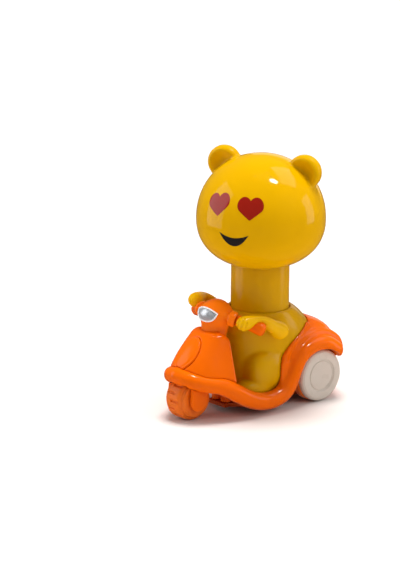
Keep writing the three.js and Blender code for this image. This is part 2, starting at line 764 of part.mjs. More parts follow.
function scooterBody() {
  const floorZ = baseTopZ + seatGap;
  const tunnelHalf = gearTunnelHalfWidth;
  const tunnel = boxOf(-tunnelHalf, -cowlFrontAhead, floorZ, tunnelHalf, gearTunnelRear, cowlSkirtZ + 4);
  const hollowRear = gearTunnelRear - gearTunnelWall;
  const hollowFront = -cowlFrontAhead - 5;
  const tunnelHollow = boxOf(-tunnelInside, hollowFront, 0, tunnelInside, hollowRear, cowlSkirtZ + 6);
  const sidePanel = [1, -1].map((side) => {
    const inner = side * (gearTunnelHalfWidth - gearTunnelWall);
    const outer = side * fenderHalfWidth;
    const panel = new THREE.Shape();
    panel.moveTo(-cowlFrontAhead, footboardZ + 2);
    panel.lineTo(6, footboardZ + 6);
    panel.lineTo(8, cowlSkirtZ + 4);
    panel.lineTo(-cowlFrontAhead, cowlSkirtZ + 4);
    return sidePlate(panel, Math.min(inner, outer), Math.max(inner, outer));
  });
  const shell = cut(
    union(cowlForm(0), tunnel, skirtForm(0), ...sidePanel),
    ...sideWells(rearWheelRadius + wheelWellGap, gearTunnelHalfWidth),
    rodX(-forkInnerX, forkInnerX, frontAxleY, frontAxleZ, frontWheelRadius + wheelWellGap, roundSegments),
  );
  const bosses = screwPlaces.map(([, x, y]) => {
    const top = y < 0 ? baseBottomZ + screwLength + 1 : cowlSkirtZ - 2;
    return moved(turnedZ([
      [0, floorZ],
      [bossRadius, floorZ],
      [bossRadius, top],
      [0, top],
    ], smallSegments), x, y, 0);
  });
  const bossHoles = screwPlaces.map(([, x, y]) => moved(screwForm(runningGap), x, y, 0));
  const axleHoles = rodX(-40, 40, rearAxleBehind, rearAxleZ, bushRadius + runningGap);
  const mouthHalf = gearTunnelHalfWidth + shellWall;
  const tunnelMouth = boxOf(-mouthHalf, -torsoHalfDepth + 4, 0, mouthHalf, towerHalfDepth - fitGap, 60);
  const cavity = cut(cowlForm(shellWall), boxOf(-40, -40, 0, 40, 40, cowlSkirtZ + 1), ...wheelRoom(0));
  const hollow = cut(shell, cavity, tunnelHollow, bearOutside(fitGap), tunnelMouth);
  return cut(union(hollow, ...bosses), ...bossHoles, axleHoles, baseForm(seatGap));
}

// Base plate with its screws
function baseForm(grow) {
  const half = baseHalfWidth + grow;
  const rearHalf = gearTunnelHalfWidth + grow;
  const tongue = baseTongueHalfWidth + grow;
  const rightSide = [
    [tongue, -baseTongueAhead - grow],
    [tongue, -baseFrontAhead - grow],
    [half, -baseFrontAhead + half - tongue - grow],
    [half, grow],
    [rearHalf, half - rearHalf + grow],
    [rearHalf, baseRearBehind + grow],
  ];
  const leftSide = rightSide.map(([x, y]) => [-x, y]).reverse();
  const outline = new THREE.Shape([...rightSide, ...leftSide].map(([x, y]) => new THREE.Vector2(x, y)));
  const depth = baseThickness + 2 * grow;
  const geometry = new THREE.ExtrudeGeometry(outline, { depth, bevelEnabled: false });
  return solidOf(geometry.translate(0, 0, baseBottomZ - grow));
}

function screwForm(grow = 0) {
  return turnedZ([
    [0, baseBottomZ - grow],
    [screwHeadRadius + grow, baseBottomZ - grow],
    [screwHeadRadius + grow, baseBottomZ + screwHeadHeight],
    [screwShankRadius + grow, baseBottomZ + screwHeadHeight],
    [screwShankRadius + grow, baseBottomZ + screwLength + grow],
    [0, baseBottomZ + screwLength + grow],
  ], smallSegments);
}

function basePlate() {
  const screwHoles = screwPlaces.map(([, x, y]) => moved(screwForm(runningGap), x, y, 0));
  return cut(baseForm(0), rackSlot(), ...screwHoles);
}

// Front wheel, its axle and the two fork legs
const frontAxleY = -frontAxleAhead;

function frontWheel() {
  const side = (sign) => [
    [frontAxleRadius + runningGap, sign * frontHubHalfWidth],
    [frontHubRadius - 1, sign * frontHubHalfWidth],
    [frontHubRadius, sign * (frontHubHalfWidth - 0.8)],
    [frontHubRadius, sign * (frontTreadHalfWidth + 0.3)],
    [frontWheelRadius - 1.2, sign * frontTreadHalfWidth],
    [frontWheelRadius - 0.3, sign * (frontTreadHalfWidth - 0.7)],
    [frontWheelRadius, sign * (frontTreadHalfWidth - 2)],
  ];
  const wheel = turnedX([...side(-1), ...side(1).reverse()], fineSegments);
  const grooves = Array.from({ length: treadGrooves }, (_, k) => {
    const angle = ((k + 0.5) / treadGrooves) * 2 * Math.PI;
    const sign = k % 2 ? 1 : -1;
    const low = frontWheelRadius - treadGrooveDepth;
    const x0 = sign > 0 ? -0.6 : -frontTreadHalfWidth;
    const geometry = new THREE.BoxGeometry(frontTreadHalfWidth + 0.6, treadGrooveWidth, 2 * treadGrooveDepth);
    geometry.translate(x0 + (frontTreadHalfWidth + 0.6) / 2, 0, low + treadGrooveDepth);
    return solidOf(geometry.rotateX(angle));
  });
  return moved(cut(wheel, ...grooves), 0, frontAxleY, frontAxleZ);
}

function forkLeg(side) {
  const leg = new THREE.Shape();
  const top = -forkTopAhead;
  leg.moveTo(frontAxleY - forkFootRadius, frontAxleZ);
  leg.absarc(frontAxleY, frontAxleZ, forkFootRadius, Math.PI, 2 * Math.PI, false);
  leg.lineTo(top + forkTopHalfWidth, forkTopZ);
  leg.lineTo(top - forkTopHalfWidth, forkTopZ);
  const inner = side * forkInnerX;
  const outer = side * (forkInnerX + forkThickness);
  const plate = sidePlate(leg, Math.min(inner, outer), Math.max(inner, outer));
  const holeStart = side * (forkInnerX - 1);
  const holeEnd = side * (forkInnerX + forkThickness / 2);
  const axleHole = rodX(holeStart, holeEnd, frontAxleY, frontAxleZ, frontAxleRadius + seatGap);
  return cut(plate, besideBead(1), skirtForm(fitGap), axleHole);
}

function frontAxle() {
  const half = forkInnerX + forkThickness / 2 - seatGap;
  return rodX(-half, half, frontAxleY, frontAxleZ, frontAxleRadius);
}

// Rear wheels and axle
const rearTyreOuterX = rearTyreInnerX + rearTyreWidth;
const rearAxleHalf = rearTyreOuterX - 1;

function rearTyre(side) {
  const edge = 0.7;
  const profile = [
    [rearAxleRadius + seatGap, rearTyreInnerX],
    [rearWheelRadius - edge, rearTyreInnerX],
    [rearWheelRadius, rearTyreInnerX + edge],
    [rearWheelRadius, rearTyreOuterX - edge],
    [rearWheelRadius - edge / 2, rearTyreOuterX],
    [rearAxleRadius + seatGap, rearTyreOuterX],
  ];
  const tyre = moved(turnedX(profile, fineSegments), 0, rearAxleBehind, rearAxleZ);
  return side > 0 ? tyre : mirrored(tyre);
}

function rearDisc(side) {
  const inner = rearTyreOuterX + seatGap;
  const outer = inner + rearDiscThickness;
  const rim = rearWheelRadius - 0.3;
  const profile = [
    [0, inner],
    [rim, inner],
    [rim, outer - 0.9],
    [rim - 0.9, outer],
    [rim - rearDiscRimWidth, outer],
    [rim - rearDiscRimWidth - 0.3, outer - rearDiscStep],
    [rearDiscHubRadius, outer - rearDiscStep],
    [rearDiscHubRadius - 0.2, outer - rearDiscStep * 0.4],
    [0, outer - rearDiscStep * 0.4],
  ];
  const disc = moved(turnedX(profile, fineSegments), 0, rearAxleBehind, rearAxleZ);
  return side > 0 ? disc : mirrored(disc);
}

const rearAxle = () => rodX(-rearAxleHalf, rearAxleHalf, rearAxleBehind, rearAxleZ, rearAxleRadius);

function axleBush(side) {
  const x0 = plateOuterX - plateThickness + seatGap;
  const profile = [
    [rearAxleRadius + runningGap, x0],
    [bushRadius, x0],
    [bushRadius, rearTyreInnerX - fitGap],
    [rearAxleRadius + runningGap, rearTyreInnerX - fitGap],
  ];
  const bush = moved(turnedX(profile, smallSegments), 0, rearAxleBehind, rearAxleZ);
  return side > 0 ? bush : mirrored(bush);
}

// Gears: straight-flanked teeth with a little backlash
function gearShape(teeth, phase) {
  const pitchRadius = (gearModule * teeth) / 2;
  const pitchAngle = (2 * Math.PI) / teeth;
  const marks = [
    [-rootShare, -toothDip],
    [-tipShare, toothRise],
    [tipShare, toothRise],
    [rootShare, -toothDip],
  ];
  const points = [];
  for (let tooth = 0; tooth < teeth; tooth++) {
    for (const [share, rise] of marks) {
      const angle = phase + (tooth + share) * pitchAngle;
      const radius = pitchRadius + rise * gearModule;
      points.push(new THREE.Vector2(radius * Math.cos(angle), radius * Math.sin(angle)));
    }
  }
  return new THREE.Shape(points);
}

// Phase of a gear driven by another, so that its tooth stands in the other's gap along the line of centres.
function meshPhase(phase, teeth, direction, drivenTeeth) {
  const pitches = (direction - phase) / ((2 * Math.PI) / teeth);
  return direction + Math.PI + (pitches - 0.5) * ((2 * Math.PI) / drivenTeeth);
}

const pinionY = pinionRadius;
// The idler lies where it meets both the spur and the drive gear, on the lower side.
const idlerPlace = (() => {
  const toAxle = new THREE.Vector2(rearAxleBehind - pinionY, rearAxleZ - pinionZ);
  const span = toAxle.length();
  const near = spurRadius + idlerRadius;
  const far = idlerRadius + driveRadius;
  const along = (near * near - far * far + span * span) / (2 * span);
  const aside = Math.sqrt(near * near - along * along);
  const unit = toAxle.normalize();
  const centreY = pinionY + unit.x * along + unit.y * aside;
  return new THREE.Vector2(centreY, pinionZ + unit.y * along - unit.x * aside);
})();
const towardsIdler = Math.atan2(idlerPlace.y - pinionZ, idlerPlace.x - pinionY);
const idlerToAxle = Math.atan2(rearAxleZ - idlerPlace.y, rearAxleBehind - idlerPlace.x);
const idlerPhase = meshPhase(towardsIdler, spurTeeth, towardsIdler, idlerTeeth);
const drivePhase = meshPhase(idlerPhase, idlerTeeth, idlerToAxle, driveTeeth);
const gearOuterX = gearSideX + gearWidth;

function compoundGear() {
  const pinion = sidePlate(gearShape(pinionTeeth, Math.PI), -pinionLength / 2, gearSideX + gearWidth / 2);
  const spur = sidePlate(gearShape(spurTeeth, towardsIdler), gearSideX, gearOuterX);
  const bore = rodX(-20, 20, 0, 0, shaftPinRadius + runningGap);
  return moved(cut(union(pinion, spur), bore), 0, pinionY, pinionZ);
}

function idlerGear() {
  const gear = sidePlate(gearShape(idlerTeeth, idlerPhase), gearSideX, gearOuterX);
  const bore = rodX(-20, 20, 0, 0, shaftPinRadius + runningGap);
  return moved(cut(gear, bore), 0, idlerPlace.x, idlerPlace.y);
}

// Drive gear: turns freely on the axle, with a cup of pawls around the ratchet hub.
const cupInside = hubRatchetRadius + fitGap;
const cupDepth = 2.2;

function driveGear() {
  const gear = sidePlate(gearShape(driveTeeth, drivePhase), gearSideX, gearOuterX);
  const cupOutside = cupInside + ratchetCupWall;
  const neck = driveRadius - toothDip * gearModule;
  const cupEnd = gearSideX - fitGap;
  const cup = turnedX([
    [cupInside, cupEnd - ratchetCupWall - cupDepth],
    [cupOutside, cupEnd - ratchetCupWall - cupDepth],
    [cupOutside, cupEnd],
    [neck, cupEnd],
    [neck, gearSideX + fitGap],
    [rearAxleRadius, gearSideX + fitGap],
    [rearAxleRadius, cupEnd - ratchetCupWall],
    [cupInside, cupEnd - ratchetCupWall],
  ], smallSegments);
  const bore = rodX(-20, 20, 0, 0, rearAxleRadius + runningGap);
  return moved(cut(union(gear, cup), bore), 0, rearAxleBehind, rearAxleZ);
}

// Ratchet hub: fixed on the axle, with saw teeth for the pawls.
function ratchetHub() {
  const points = [];
  for (let tooth = 0; tooth < hubRatchetTeeth; tooth++) {
    const start = (tooth / hubRatchetTeeth) * 2 * Math.PI;
    const end = ((tooth + 0.92) / hubRatchetTeeth) * 2 * Math.PI;
    const low = hubRatchetRadius - 0.6;
    points.push(new THREE.Vector2(low * Math.cos(start), low * Math.sin(start)));
    points.push(new THREE.Vector2(hubRatchetRadius * Math.cos(end), hubRatchetRadius * Math.sin(end)));
  }
  const hubEnd = gearSideX - 2 * fitGap - ratchetCupWall;
  const hub = sidePlate(new THREE.Shape(points), hubEnd - cupDepth, hubEnd);
  const bore = rodX(-20, 20, 0, 0, rearAxleRadius + seatGap);
  return moved(cut(hub, bore), 0, rearAxleBehind, rearAxleZ);
}

const shaftPin = (y, z) => rodX(-plateOuterX + seatGap, plateOuterX - seatGap, y, z, shaftPinRadius);

// Gearbox: two side plates on the base and a spring seat across their tops
const plateTopZ = seatTopZ - seatThickness - seatGap;

function gearPlate(side) {
  const outline = new THREE.Shape();
  const foot = baseTopZ + seatGap;
  const shelf = pinionZ + 1.5;
  outline.moveTo(-towerHalfDepth, foot);
  outline.lineTo(rearAxleBehind + 4, foot);
  outline.lineTo(rearAxleBehind + 4, rearAxleZ + 3.6);
  outline.lineTo(towerHalfDepth, shelf);
  outline.lineTo(towerHalfDepth, plateTopZ);
  outline.lineTo(-towerHalfDepth, plateTopZ);
  const inner = side * (plateOuterX - plateThickness);
  const outer = side * plateOuterX;
  const plate = sidePlate(outline, Math.min(inner, outer), Math.max(inner, outer));
  const holes = [
    rodX(-40, 40, pinionY, pinionZ, shaftPinRadius + runningGap),
    rodX(-40, 40, idlerPlace.x, idlerPlace.y, shaftPinRadius + runningGap),
    rodX(-40, 40, rearAxleBehind, rearAxleZ, bushRadius + seatGap),
  ];
  return cut(plate, ...holes);
}

// The room that the rack passes through.
function rackSlot() {
  const half = rackWidth / 2 + fitGap;
  return boxOf(-half, -rackDepth - fitGap, 0, half, gearModule * toothRise + fitGap, 60);
}

function springSeat() {
  const disc = turnedZ([
    [0, seatTopZ - seatThickness],
    [seatRadius, seatTopZ - seatThickness],
    [seatRadius, seatTopZ],
    [0, seatTopZ],
  ], roundSegments);
  return cut(disc, rackSlot());
}

// Press rack: hangs from a round flange under the neck's closed top
const rackTopZ = neckTopZ - neckTopThickness - seatGap;

function pressRack() {
  const pitch = Math.PI * gearModule;
  const footZ = pinionZ - pitch;
  const rack = new THREE.Shape();
  rack.moveTo(-rackDepth, rackTopZ - rackStemFlange / 2);
  rack.lineTo(-rackDepth, footZ);
  const root = -toothDip * gearModule;
  const tip = toothRise * gearModule;
  rack.lineTo(root, footZ);
  const teeth = Math.ceil((pressStroke + 3 * pitch) / pitch);
  for (let tooth = 0; tooth < teeth; tooth++) {
    const middle = footZ + (tooth + 0.5) * pitch;
    rack.lineTo(root, middle - rootShare * pitch);
    rack.lineTo(tip, middle - tipShare * pitch);
    rack.lineTo(tip, middle + tipShare * pitch);
    rack.lineTo(root, middle + rootShare * pitch);
  }
  rack.lineTo(root, rackTopZ - rackStemFlange / 2);
  const stem = sidePlate(rack, -rackWidth / 2, rackWidth / 2);
  const flange = turnedZ([
    [0, rackTopZ - rackStemFlange],
    [neckBore - fitGap, rackTopZ - rackStemFlange],
    [neckBore - fitGap, rackTopZ],
    [0, rackTopZ],
  ], roundSegments);
  return union(stem, flange);
}

// Return spring: one wire in an even helix between the seat and the rack's flange
function returnSpring() {
  const low = seatTopZ + fitGap + springWire / 2;
  const high = rackTopZ - rackStemFlange - fitGap - springWire / 2;
  const steps = springTurns * springStepsPerTurn;
  const rings = [];
  const centres = [];
  for (let i = 0; i <= steps; i++) {
    const angle = (i / springStepsPerTurn) * 2 * Math.PI;
    const outward = new THREE.Vector3(Math.cos(angle), Math.sin(angle), 0);
    const centre = outward.clone().multiplyScalar(springCoilRadius).setZ(mix(low, high, i / steps));
    centres.push(centre);
    rings.push(
      Array.from({ length: springSides }, (_, k) => {
        const turn = (k / springSides) * 2 * Math.PI;
        const reach = (Math.cos(turn) * springWire) / 2;
        const rise = (Math.sin(turn) * springWire) / 2;
        return centre.clone().addScaledVector(outward, reach).add(new THREE.Vector3(0, 0, rise));
      }),
    );
  }
  let least = Infinity;
  for (let i = 0; i + springStepsPerTurn < centres.length; i++) {
    least = Math.min(least, centres[i].distanceTo(centres[i + springStepsPerTurn]) - springWire);
  }
  console.log(`return_spring: least gap between its turns ${least.toFixed(2)} mm`);
  return loft(rings);
}

// The flange has a flat at each side, which leaves room for the arms' pegs.
const besideFlange = (grow) =>
  [1, -1].map((side) => {
    const flat = side * (neckRadius + seatGap + grow);
    const low = neckFootZ - pressStroke - 2;
    return boxOf(Math.min(flat, side * 40), -40, low, Math.max(flat, side * 40), 40, flangeTopZ + fitGap + 1);
  });

// Neck: a closed-topped tube with a stop flange below the collar and a spindle for the head
function neckTube() {
  const spindleTop = neckTopZ + spindleHeight;
  const turned = turnedZ([
    [neckBore, neckFootZ],
    [flangeRadius, neckFootZ],
    [flangeRadius, flangeTopZ],
    [neckRadius, flangeTopZ],
    [neckRadius, neckTopZ],
    [spindleRadius, neckTopZ],
    [spindleRadius, spindleTop],
    [spindleRadius + spindleLip, spindleTop + 0.3],
    [spindleRadius, spindleTop + spindleCapHeight],
    [0, spindleTop + spindleCapHeight],
    [0, neckTopZ - neckTopThickness],
    [neckBore, neckTopZ - neckTopThickness],
  ], fineSegments);
  return cut(turned, ...besideFlange(0));
}

// Head: two shells that meet just ahead of the ears, and the socket that turns on the neck's spindle
function headForm(inset, segments) {
  const steps = 9;
  const profile = [];
  for (let i = 0; i <= 2 * steps; i++) {
    const upper = i > steps;
    const angle = (upper ? i - steps : steps - i) / steps * (Math.PI / 2);
    const power = upper ? headCrownPower : headJawPower;
    const height = (upper ? headCrownHeight : headJawHeight) - inset;
    const radius = (headRadius - inset) * Math.cos(angle) ** (2 / power);
    const rise = height * Math.sin(angle) ** (2 / power);
    profile.push([i === 0 || i === 2 * steps ? 0 : radius, headWidestZ + (upper ? rise : -rise)]);
  }
  return turnedZ(profile, segments);
}

function ear(side) {
  const half = earThickness / 2;
  const edge = earRadius - earDishRadius;
  const profile = [
    [0, -half + earDishDepth],
    [earDishRadius * 0.7, -half + earDishDepth * 0.8],
    [earDishRadius, -half],
    [earRadius - edge * 0.3, -half + edge * 0.4],
    [earRadius, -half + edge],
    [earRadius, half - edge],
    [earRadius - edge * 0.6, half - edge * 0.2],
    [0, half],
  ];
  const points = profile.map(([radius, depth]) => new THREE.Vector2(radius, depth));
  const disc = new THREE.LatheGeometry([...points, points[0]], smallSegments + 4);
  return solidOf(disc.translate(side * earSpread, earSetBack, earCentreZ));
}

function headShells() {
  const opening = turnedZ([
    [0, headOpeningZ - 10],
    [neckRadius + fitGap, headOpeningZ - 10],
    [neckRadius + fitGap, headOpeningZ + 2],
    [0, headOpeningZ + 2],
  ], fineSegments);
  const outer = headForm(0, fineSegments);
  const inner = headForm(headWall, smallSegments);
  const eared = cut(union(outer, ear(1), ear(-1)), inner, opening);
  const ahead = boxOf(-60, -60, 0, 60, -headSeamAhead, 160);
  const behind = boxOf(-60, -headSeamAhead - seatGap, 0, 60, 60, 160);
  return { front: cut(eared, behind), rear: cut(eared, ahead) };
}

function headSocket() {
  const flangeZ = neckTopZ + seatGap;
  const bore = spindleRadius + runningGap;
  const drop = headWidestZ - flangeZ;
  const innerJaw = headJawHeight - headWall;
  const reach = (headRadius - headWall) * (1 - (drop / innerJaw) ** headJawPower) ** (1 / headJawPower);
  const tubeTop = neckTopZ + spindleHeight - fitGap;
  return turnedZ([
    [bore, flangeZ],
    [reach - fitGap, flangeZ],
    [reach - fitGap, flangeZ + socketFlangeThickness],
    [bore + socketTubeWall, flangeZ + socketFlangeThickness],
    [bore + socketTubeWall, tubeTop],
    [bore, tubeTop],
  ], roundSegments);
}

// Assembly
const toy = new THREE.Group();
const shells = headShells();
const headGroup = new THREE.Group();
headGroup.rotation.z = THREE.MathUtils.degToRad(headTurnDegrees);
headGroup.add(
  piece("head_front_shell", shells.front, yellowPlastic),
  piece("head_rear_shell", shells.rear, yellowPlastic),
  piece("head_socket", headSocket(), nylon),
);
toy.add(
  headGroup,
  piece("neck_tube", neckTube(), yellowPlastic),
  piece("press_rack", pressRack(), nylon),
  piece("return_spring", returnSpring(), steel),
  piece("bear_body", bearBody(), bodyYellow),
  piece("left_arm", arm(1), yellowPlastic),
  piece("right_arm", arm(-1), yellowPlastic),
  piece("scooter_body", scooterBody(), orangePlastic),
  piece("front_shield", frontShield(), orangePlastic),
  piece("badge_plate", cut(badgeForm(0), skirtForm(fitGap)), orangePlastic),
  piece("handlebar", handlebar(), orangePlastic),
  piece("left_grip", grip(1), orangePlastic),
  piece("right_grip", grip(-1), orangePlastic),
  piece("headlight_lens", lensForm(0), silver),
  piece("front_wheel", frontWheel(), tyreOrange),
  piece("front_axle", frontAxle(), steel),
  piece("left_fork_leg", forkLeg(1), orangePlastic),
  piece("right_fork_leg", forkLeg(-1), orangePlastic),
  piece("left_rear_tyre", rearTyre(1), tyreOrange),
  piece("right_rear_tyre", rearTyre(-1), tyreOrange),
  piece("left_wheel_disc", rearDisc(1), whitePlastic),
  piece("right_wheel_disc", rearDisc(-1), whitePlastic),
  piece("rear_axle", rearAxle(), steel),
  piece("left_axle_bush", axleBush(1), nylon),
  piece("right_axle_bush", axleBush(-1), nylon),
  piece("compound_gear", compoundGear(), nylon),
  piece("idler_gear", idlerGear(), nylon),
  piece("drive_gear", driveGear(), nylon),
  piece("ratchet_hub", ratchetHub(), nylon),
  piece("compound_shaft", shaftPin(pinionY, pinionZ), steel),
  piece("idler_shaft", shaftPin(idlerPlace.x, idlerPlace.y), steel),
  piece("left_gear_plate", gearPlate(1), darkPlastic),
  piece("right_gear_plate", gearPlate(-1), darkPlastic),
  piece("spring_seat", springSeat(), darkPlastic),
  piece("base_plate", basePlate(), orangePlastic),
  ...screwPlaces.map(([name, x, y]) => piece(`${name}_screw`, moved(screwForm(), x, y, 0), steel)),
);

// The origin lies on the ground under the middle of the toy's length.
const extent = new THREE.Box3().setFromObject(toy, true);
toy.position.y = -(extent.min.y + extent.max.y) / 2;
const scooter = new THREE.Group();
scooter.add(toy);

export default scooter;
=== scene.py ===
import math

import bmesh
import bpy
import numpy as np
from mathutils import Matrix, Vector


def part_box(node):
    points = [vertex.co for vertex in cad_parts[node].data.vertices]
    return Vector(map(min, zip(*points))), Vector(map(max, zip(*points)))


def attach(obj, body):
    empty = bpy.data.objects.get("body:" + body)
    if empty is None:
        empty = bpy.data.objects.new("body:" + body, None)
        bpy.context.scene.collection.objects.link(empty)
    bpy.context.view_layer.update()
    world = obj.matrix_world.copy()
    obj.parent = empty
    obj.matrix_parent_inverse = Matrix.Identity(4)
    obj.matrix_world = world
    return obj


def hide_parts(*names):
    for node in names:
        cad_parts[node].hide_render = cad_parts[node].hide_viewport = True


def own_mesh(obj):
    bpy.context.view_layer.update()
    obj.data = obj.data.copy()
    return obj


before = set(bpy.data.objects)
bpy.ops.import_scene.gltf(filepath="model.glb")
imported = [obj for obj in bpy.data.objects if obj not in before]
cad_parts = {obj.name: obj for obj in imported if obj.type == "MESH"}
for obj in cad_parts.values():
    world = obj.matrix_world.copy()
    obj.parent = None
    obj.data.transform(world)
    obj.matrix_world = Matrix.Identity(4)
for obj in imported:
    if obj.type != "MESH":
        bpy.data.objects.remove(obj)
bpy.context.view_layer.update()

# A bear on a press-and-go scooter. Sizes are in millimetres around the neck's axis: the scooter faces -Y,
# the bear's left hand is at +X and the ground is at z = 0. Meshes are in metres, in the model's frame.
MM = 0.001
NECK_LOW, NECK_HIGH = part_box("neck_tube")
NECK_Y = (NECK_LOW.y + NECK_HIGH.y) / 2
SIDES = {"left": 1, "right": -1}

# Head
HEAD_RADIUS = 25.5
HEAD_WIDEST_Z = 75.0
CROWN_HEIGHT, CROWN_POWER = 25.4, 2.05
JAW_HEIGHT, JAW_POWER = 19.6, 2.27
HEAD_WALL = 1.8
HEAD_TURN = math.radians(24)
HEAD_SEAM_Y, SEAM_GAP = -0.6, 0.06
HEAD_OPENING_GAP, HEAD_OPENING_DROP = 0.3, 12.0
EAR_CENTRE = (17.1, 2.9, 94.7)
EAR_RADIUS, EAR_HALF, EAR_ROUND = 6.8, 2.9, 2.2
EAR_DISH_RADIUS, EAR_DISH_DEPTH = 4.9, 1.9

# Face
FACE_TURN = math.radians(2.6)
HEART_ANGLE, HEART_SHIFT = math.radians(17.1), math.radians(1.4)
HEART_Z = 84.5
HEART_WIDTH, HEART_HEIGHT = 10.8, 8.5
HEART_LOBE, HEART_TIP = 2.95, 0.5
HEART_TILT = {1: 0.0, -1: math.radians(10)}
MOUTH_ANGLE, MOUTH_SHIFT = math.radians(14.3), math.radians(1.1)
MOUTH_CORNER_Z, MOUTH_LOW_Z, MOUTH_LIP_Z = 74.3, 69.3, 72.7
MOUTH_LOW_POWER, MOUTH_LIP_POWER = 2.1, 1.9
PRINT_RISE, PRINT_DEPTH, PRINT_RINGS = 0.05, 0.25, 12

# Neck and plunger
NECK_RADIUS, NECK_WALL = 11.5, 1.6
NECK_TOP_Z, NECK_ROOF = 58.1, 1.8
NECK_FOOT_Z, NECK_LIP, NECK_LIP_HEIGHT = 34.6, 0.3, 1.5
SPINDLE_RADIUS, SPINDLE_BORE, SPINDLE_BARB, SPINDLE_TOP_Z = 5.0, 2.0, 0.7, 67.0

# Bear's body
COLLAR_Z, TORSO_FLOOR_Z = 39.3, 4.4
TORSO_HALF_WIDTH, TORSO_HALF_DEPTH = 14.3, 20.0
TORSO_SET_BACK, SHOULDER_HEIGHT = 3.2, 11.8
WAIST_SHARE, WAIST_REACH = 0.82, 0.16
COLLAR_RADIUS, COLLAR_DEPTH = 12.6, 3.0
NECK_GAP, NECK_BORE_DEPTH = 0.2, 18.0
KNEE, KNEE_SIZE, KNEE_POWER = (9.2, -6.4, 16.4), (6.2, 8.2, 8.2), 2.7
FOOT, FOOT_SIZE, FOOT_POWER = (9, -10.4, 9.8), (5.5, 8.8, 3.9), 2.2
BODY_WALL = 1.6
HATCH_HALF, HATCH_FRONT_Y, HATCH_TOP_Z = 9.6, 5.4, 27.0
FOOT_HOLE_AHEAD, FOOT_HOLE_HEIGHT = 10.4, 4.0
UNDER_BEAD_HALF, UNDER_BEAD_FRONT_Y, UNDER_BEAD_HEIGHT = 16.0, 0.4, 5.0

# Arms and handlebar
ARM_POINTS = np.array([(16.2, -4, 33), (17.3, -9.3, 36.9), (17, -14.8, 40.8), (14.8, -21.4, 40.3)])
ARM_RADII = np.array([3.5, 2.6, 1.5, 2.9])
ARM_SWING = math.radians(4.8)
FINGER_PITCH, CREASE_HALF, CREASE_DEPTH = 1.5, 0.16, 0.4
HAND_GAP, ARM_GAP = 0.12, 0.1
COWL, COWL_SIZE = np.array((0, -23.0, 39.9)), np.array((7.3, 6.4, 4.9))
STEM_FOOT = (0, -24.4, 30.4)
STEM_RADIUS, STEM_TOP_RADIUS, STEM_SINK = 4.9, 5.8, 1.6
BAR_INNER, BAR_OUTER = np.array((4, -25.4, 41.1)), np.array((19, -15.65, 36.15))
BAR_LENGTH = float(np.linalg.norm(BAR_OUTER - BAR_INNER))
BAR_AXIS = (BAR_OUTER - BAR_INNER) / BAR_LENGTH
BAR_RADIUS, RING_RADIUS, RING_START, RING_END = 1.6, 3.1, 4.4, 7.4
GRIP_START, GRIP_RADIUS, GRIP_FLARE = 7.8, 2.2, 2.7
GRIP_PAST_BAR, GRIP_ROUND, GRIP_ROUND_POWER = 1.0, 1.6, 0.6
LENS_WIDTH, LENS_RISE, LENS_DROP, LENS_Z = 10.4, 1.6, 3.3, 41.6
LENS_CROWN, LENS_EDGE, LENS_SINK, LENS_RINGS = 0.4, 0.15, 0.5, 10
RIM_RADIUS, RIM_RISE, RIM_OUT, RIM_SIDES = 0.3, 0.2, 0.12, 10

# Front shield and badge
SHIELD_REAR = 23.8
SHIELD_FOOT_Z, SHIELD_TOP_Z, SHIELD_TOP_SLOPE = 13.0, 35.0, 0.34
SHIELD_FOOT_AHEAD, SHIELD_TOP_AHEAD, SHIELD_BOW = 45.0, 28.8, 2
SHIELD_FOOT_HALF, SHIELD_TOP_HALF = 14.2, 8.2
SHIELD_POWER, SHIELD_WALL = 2.2, 1.6
BADGE_WIDTH, BADGE_HEIGHT, BADGE_Z = 10.0, 15.2, 26.9
BADGE_RISE, BADGE_SINK, BADGE_RECESS, BADGE_GAP = 0.4, 0.5, 0.55, 0.12
GROOVE_INSET, GROOVE_HALF, GROOVE_FLOOR = 0.95, 0.16, 0.15

# Skirt bead, deck and rear cowl
BEAD_RADII = {"nose": 3.3, "board": 3.5, "fender": 3.1, "tail": 4.1}
NOSE_HALF, NOSE_AHEAD, NOSE_Z, NOSE_LIFT = 8.6, 42.8, 17.4, 0.9
BOARD_HALF, BOARD_AHEAD, BOARD_Z = 15.5, 11.0, 5.3
FENDER_HALF, ARCH_Y, ARCH_Z, ARCH_RADIUS = 16.0, 16.1, 11.0, 12.5
ARCH_FROM, ARCH_TO = 157, 45
DECK_HALF_THICKNESS, DECK_END = 1.2, 0.42
REAR_COWL_HALF, REAR_TAIL_HALF = 15.4, 15.0
REAR_TOP_Z, REAR_FRONT_Z, REAR_SKIRT_Z = 32.6, 23.0, 15.0
REAR_FRONT_Y, REAR_CREST_Y, REAR_TAIL_Y, REAR_TAIL_Z = -2.2, 13.0, 35.0, 20.5
REAR_POWER = 3.4
ROLL_RADIUS, ROLL_END_RADIUS = 1.4, 2.2
ROLL_RUN = [
    (15.2, 2.0, 17.0), (14.9, 5.2, 22.0), (14.2, 9.1, 25.3), (13.7, 13.0, 26.9),
    (13.3, 17.5, 27.4), (13.0, 22.5, 26.8), (12.8, 26.6, 24.9), (12.6, 29.6, 22.0), (12.8, 30.4, 19.2),
]
LIP_RADII = (1.4, 0.9)
LIP_RUN = [
    (14.9, -1.6, 8.0), (15.0, -1.2, 12.0), (15.0, -0.9, 15.5), (14.9, -0.3, 19.0), (14.6, 1.2, 22.2),
    (14.4, 4.0, 25.2), (13.9, 7.6, 27.6), (12.7, 11.6, 29.7), (10.8, 15.0, 31.0),
]

